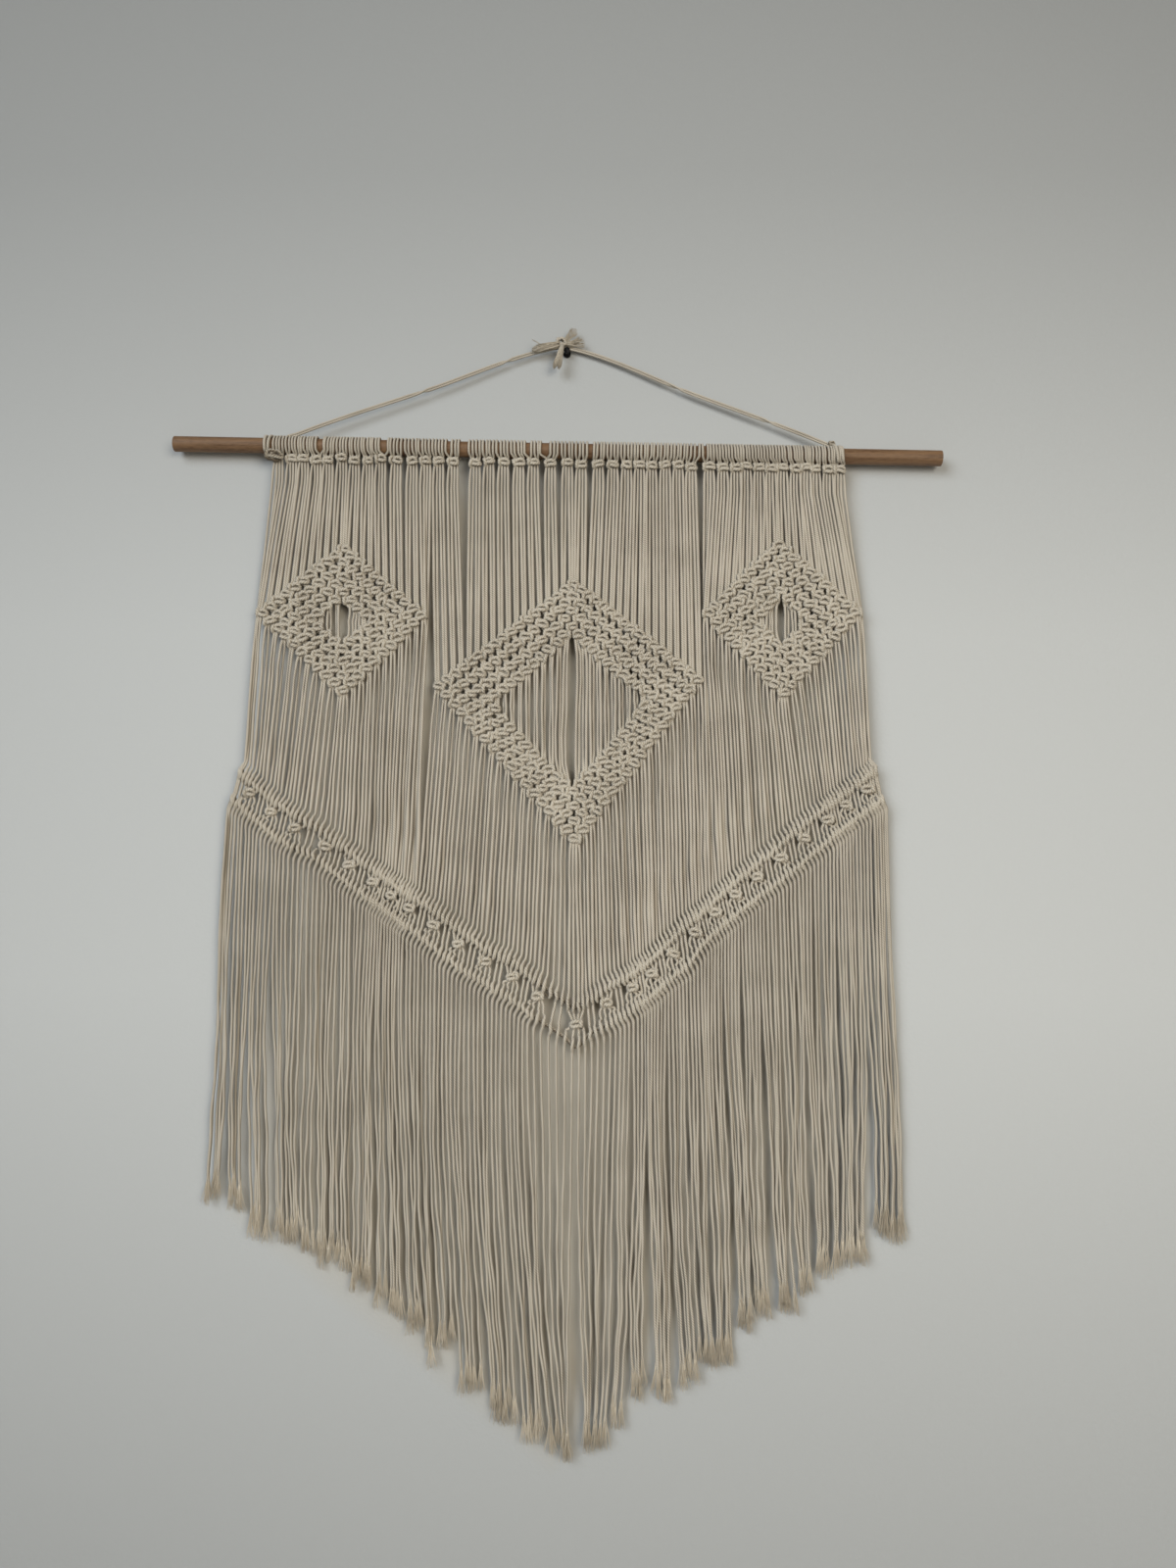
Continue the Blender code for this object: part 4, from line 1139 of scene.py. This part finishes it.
def fray(yarn, ends, headings, length, radius, count, chance):
    """Opens the ends of cords: their three plies part, and each spreads into fibres like a brush.

    A fibre starts inside the cord's end. Its tip lies about a length further on, moved out with its
    ply and by a step of its own, half as far in depth, and stops short of the wall.
    """
    cords = len(ends)
    ply = np.arange(count) % PLIES
    angle = ply * 2 * np.pi / PLIES + drift(chance, (cords, 1), np.pi)
    loose = drift(chance, (cords, count, 2), 1.0)
    side = unit(np.cross(headings, TO_WALL))[:, None]
    front = unit(np.cross(headings[:, None], side))
    ply_out = side * np.cos(angle)[..., None] + 0.5 * front * np.sin(angle)[..., None]
    own_out = side * loose[..., :1] + 0.5 * front * loose[..., 1:]
    open_by = radius * 0.85 * (0.6 + chance.random((cords, 1, 1)) * 0.8)
    roots = ends[:, None] - headings[:, None] * FRAY_ROOT + (0.45 * ply_out + 0.3 * own_out) * radius
    reach = length * (0.74 + 0.3 * chance.random((cords, count, 1)))
    tips = ends[:, None] + headings[:, None] * reach
    tips = tips + (PLY_OPENING * ply_out + OWN_OPENING * own_out) * open_by
    tips[..., 1] = np.minimum(tips[..., 1], -NEAREST * MM)
    start = np.broadcast_to(headings[:, None], roots.shape)
    fibres(yarn, roots.reshape(-1, 3), start.reshape(-1, 3), tips.reshape(-1, 3), FIBRE_RADIUS)


def fan(yarn, chance, root, first, last, count, thick, root_size):
    """A flat fan of fibres from a root to tips spread between two places, in millimetres. The fan
    bulges in its middle by a quarter of its length, as half a sine wave."""
    root, first, last = (np.array(place, float) * MM for place in (root, first, last))
    share = (np.arange(count)[:, None] + drift(chance, (count, 1), 0.6)) / (count - 1)
    tips = first + (last - first) * share
    out = unit(tips - root)
    bulge = np.linalg.norm((first + last) / 2 - root) * 0.25 * np.sin(np.pi * np.clip(share, 0, 1))
    tips = tips + out * (bulge + drift(chance, (count, 1), 0.0016))
    tips[:, 1] += drift(chance, count, 0.002)
    middle = unit((first + last) / 2 - root)
    roots = np.broadcast_to(root, tips.shape) + drift(chance, tips.shape, root_size)
    fibres(yarn, roots, unit(middle * 0.4 + out * 0.6), tips, thick)


class MACRAME_OT_hanger_ties(bpy.types.Operator):
    """Tie the hanging cord above the screw and at both ends on the dowel."""

    bl_idname = "macrame.hanger_ties"
    bl_label = "Hanger Ties"

    def execute(self, context):
        chance = np.random.default_rng(121)
        tight = STRAND_RADIUS * MM
        yarn = Yarn(122)
        above, size = [(-7.0, -10.2, 9.2)], (0.8, 0.8, 1.4)
        square_knots(yarn, above, size, seed=123, cord=tight * 1.4, steps=3, tilt=25)
        yarn.add(smooth(TIE_LOOP, 4) * MM, tight, sides=8, reference=TO_WALL)
        piece = yarn.finish("hanger_tie", knot_cotton())
        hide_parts("hanger_knot")

        yarn = Yarn(124)
        for row in TIE_FANS:
            fan(yarn, chance, *row)
        for core in TIE_CORES:
            yarn.add(smooth(core, 4) * MM, CORE_RADIUS, sides=7, reference=TO_WALL)
        # Painted light: the tie's fibres get a lighter copy of the cotton without plies, against the shade
        # that the thin fibres cast on each other.
        piece = yarn.finish("tie_ends", cotton("cotton_tie_painted_light", 0.0, 1.15))
        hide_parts("tie_end_up", "tie_end_left", "tie_end_down")

        yarn = Yarn(125)
        left, size = [(-343.5, -22.5, -140.5), (-337.0, -21.5, -141.5)], (0.95, 1.0, 1.35)
        square_knots(yarn, left, size, seed=126, cord=LEFT_KNOT_RADIUS, steps=3, tilt=25)
        angle = np.radians(np.arange(-170, 160, 20))
        for start, climb, reach in DOWEL_TURNS:
            x = start + climb * (angle / np.pi)
            y, z = DOWEL_Y / MM - reach * np.sin(angle), dowel_z(x) + reach * np.cos(angle)
            yarn.add(np.stack([x, y, z], -1) * MM, TURN_RADIUS, sides=7)
        right, size = [(311.0, -15.0, -122.6)], (0.6, 0.5, 0.6)
        square_knots(yarn, right, size, seed=127, cord=RIGHT_KNOT_RADIUS, steps=3, tilt=25)
        piece = yarn.finish("dowel_ties", cotton())
        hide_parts("hanger_tie_left", "hanger_tie_right", "hanger_loop_left", "hanger_loop_right")
        return {"FINISHED"}


class MACRAME_OT_hardware(bpy.types.Operator):
    """Give the dowel its beech grain and the screw its black coat."""

    bl_idname = "macrame.hardware"
    bl_label = "Dowel and Screw"

    def execute(self, context):
        finishes = {"dowel": beech_material(context.scene.macrame_finish), "wall_screw": black_material()}
        for node, material in finishes.items():
            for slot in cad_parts[node].material_slots:
                slot.material = material
        return {"FINISHED"}


def plane(name, edges, material):
    """A stage plane as wide as the stage, between two edges, given as y, z, y and z."""
    y, z, y_end, z_end = edges
    near = [(-STAGE_SIDE, y, z), (STAGE_SIDE, y, z)]
    far = [(STAGE_SIDE, y_end, z_end), (-STAGE_SIDE, y_end, z_end)]
    mesh = bpy.data.meshes.new(name)
    mesh.from_pydata(near + far, [], [(0, 1, 2, 3)])
    mesh.materials.append(material)
    made = bpy.data.objects.new(name, mesh)
    bpy.context.collection.objects.link(made)


def area_light(name, place, target, size, spread, power, colour):
    """A soft light that looks from its place at the target and shines within the spread, in degrees."""
    data = bpy.data.lights.new(name, "AREA")
    data.shape = "DISK"
    data.size = size
    data.spread = math.radians(spread)
    data.energy = power
    data.color = colour
    made = bpy.data.objects.new(name, data)
    bpy.context.collection.objects.link(made)
    made.location = place
    way = Vector(target) - Vector(place)
    made.rotation_euler = way.to_track_quat("-Z", "Y").to_euler()


class MACRAME_OT_stage(bpy.types.Operator):
    """Set up the wall, the floor, the lights and the camera."""

    bl_idname = "macrame.stage"
    bl_label = "Stage"

    def execute(self, context):
        scene = context.scene
        floor = Finish("floor_paint", 0.8)
        floor.shader.inputs["Base Color"].default_value = FLOOR_COLOUR
        plane("wall", WALL_EDGES, wall_material(scene.macrame_finish))
        plane("floor", FLOOR_EDGES, floor.material)
        for name, light in LIGHTS.items():
            area_light(name, *light)
        world = bpy.data.worlds.new("room")
        world.use_nodes = True
        room = world.node_tree.nodes["Background"].inputs
        room["Color"].default_value = ROOM_COLOUR
        room["Strength"].default_value = ROOM_STRENGTH
        scene.world = world
        scene.view_settings.view_transform = "Standard"

        data = bpy.data.cameras.new("camera")
        data.sensor_fit = "VERTICAL"
        data.sensor_height, data.lens = CAMERA_SENSOR, CAMERA_LENS
        camera = bpy.data.objects.new("camera", data)
        context.collection.objects.link(camera)
        camera.matrix_world = Matrix.Translation(CAMERA_AT) @ Matrix(CAMERA_AXES).to_4x4()
        scene.camera = camera
        return {"FINISHED"}


class MACRAME_PT_panel(bpy.types.Panel):
    """The steps of the hanging, in order."""

    bl_idname = "MACRAME_PT_panel"
    bl_label = "Macrame"
    bl_space_type = "VIEW_3D"
    bl_region_type = "UI"
    bl_category = "Macrame"

    def draw(self, context):
        for group in (context.scene.macrame_cord, context.scene.macrame_finish):
            for name in group.__annotations__:
                self.layout.prop(group, name)
        for step in STEPS:
            self.layout.operator(step.bl_idname)


STEPS = (
    MACRAME_OT_stage,
    MACRAME_OT_hanging_cord,
    MACRAME_OT_hanger_ties,
    MACRAME_OT_hardware,
    MACRAME_OT_panel_strings,
    MACRAME_OT_heading_knots,
    MACRAME_OT_diamond_knots,
    MACRAME_OT_ridges,
    MACRAME_OT_band,
    MACRAME_OT_fringe,
)
CLASSES = (CordSettings, FinishSettings, *STEPS, MACRAME_PT_panel)


def register():
    for made in CLASSES:
        bpy.utils.register_class(made)
    bpy.types.Scene.macrame_cord = bpy.props.PointerProperty(type=CordSettings)
    bpy.types.Scene.macrame_finish = bpy.props.PointerProperty(type=FinishSettings)


def unregister():
    del bpy.types.Scene.macrame_finish
    del bpy.types.Scene.macrame_cord
    for made in reversed(CLASSES):
        bpy.utils.unregister_class(made)


def main():
    """Builds everything."""
    register()
    for step in STEPS:
        group, name = step.bl_idname.split(".")
        getattr(getattr(bpy.ops, group), name)()


if __name__ == "__main__":
    main()
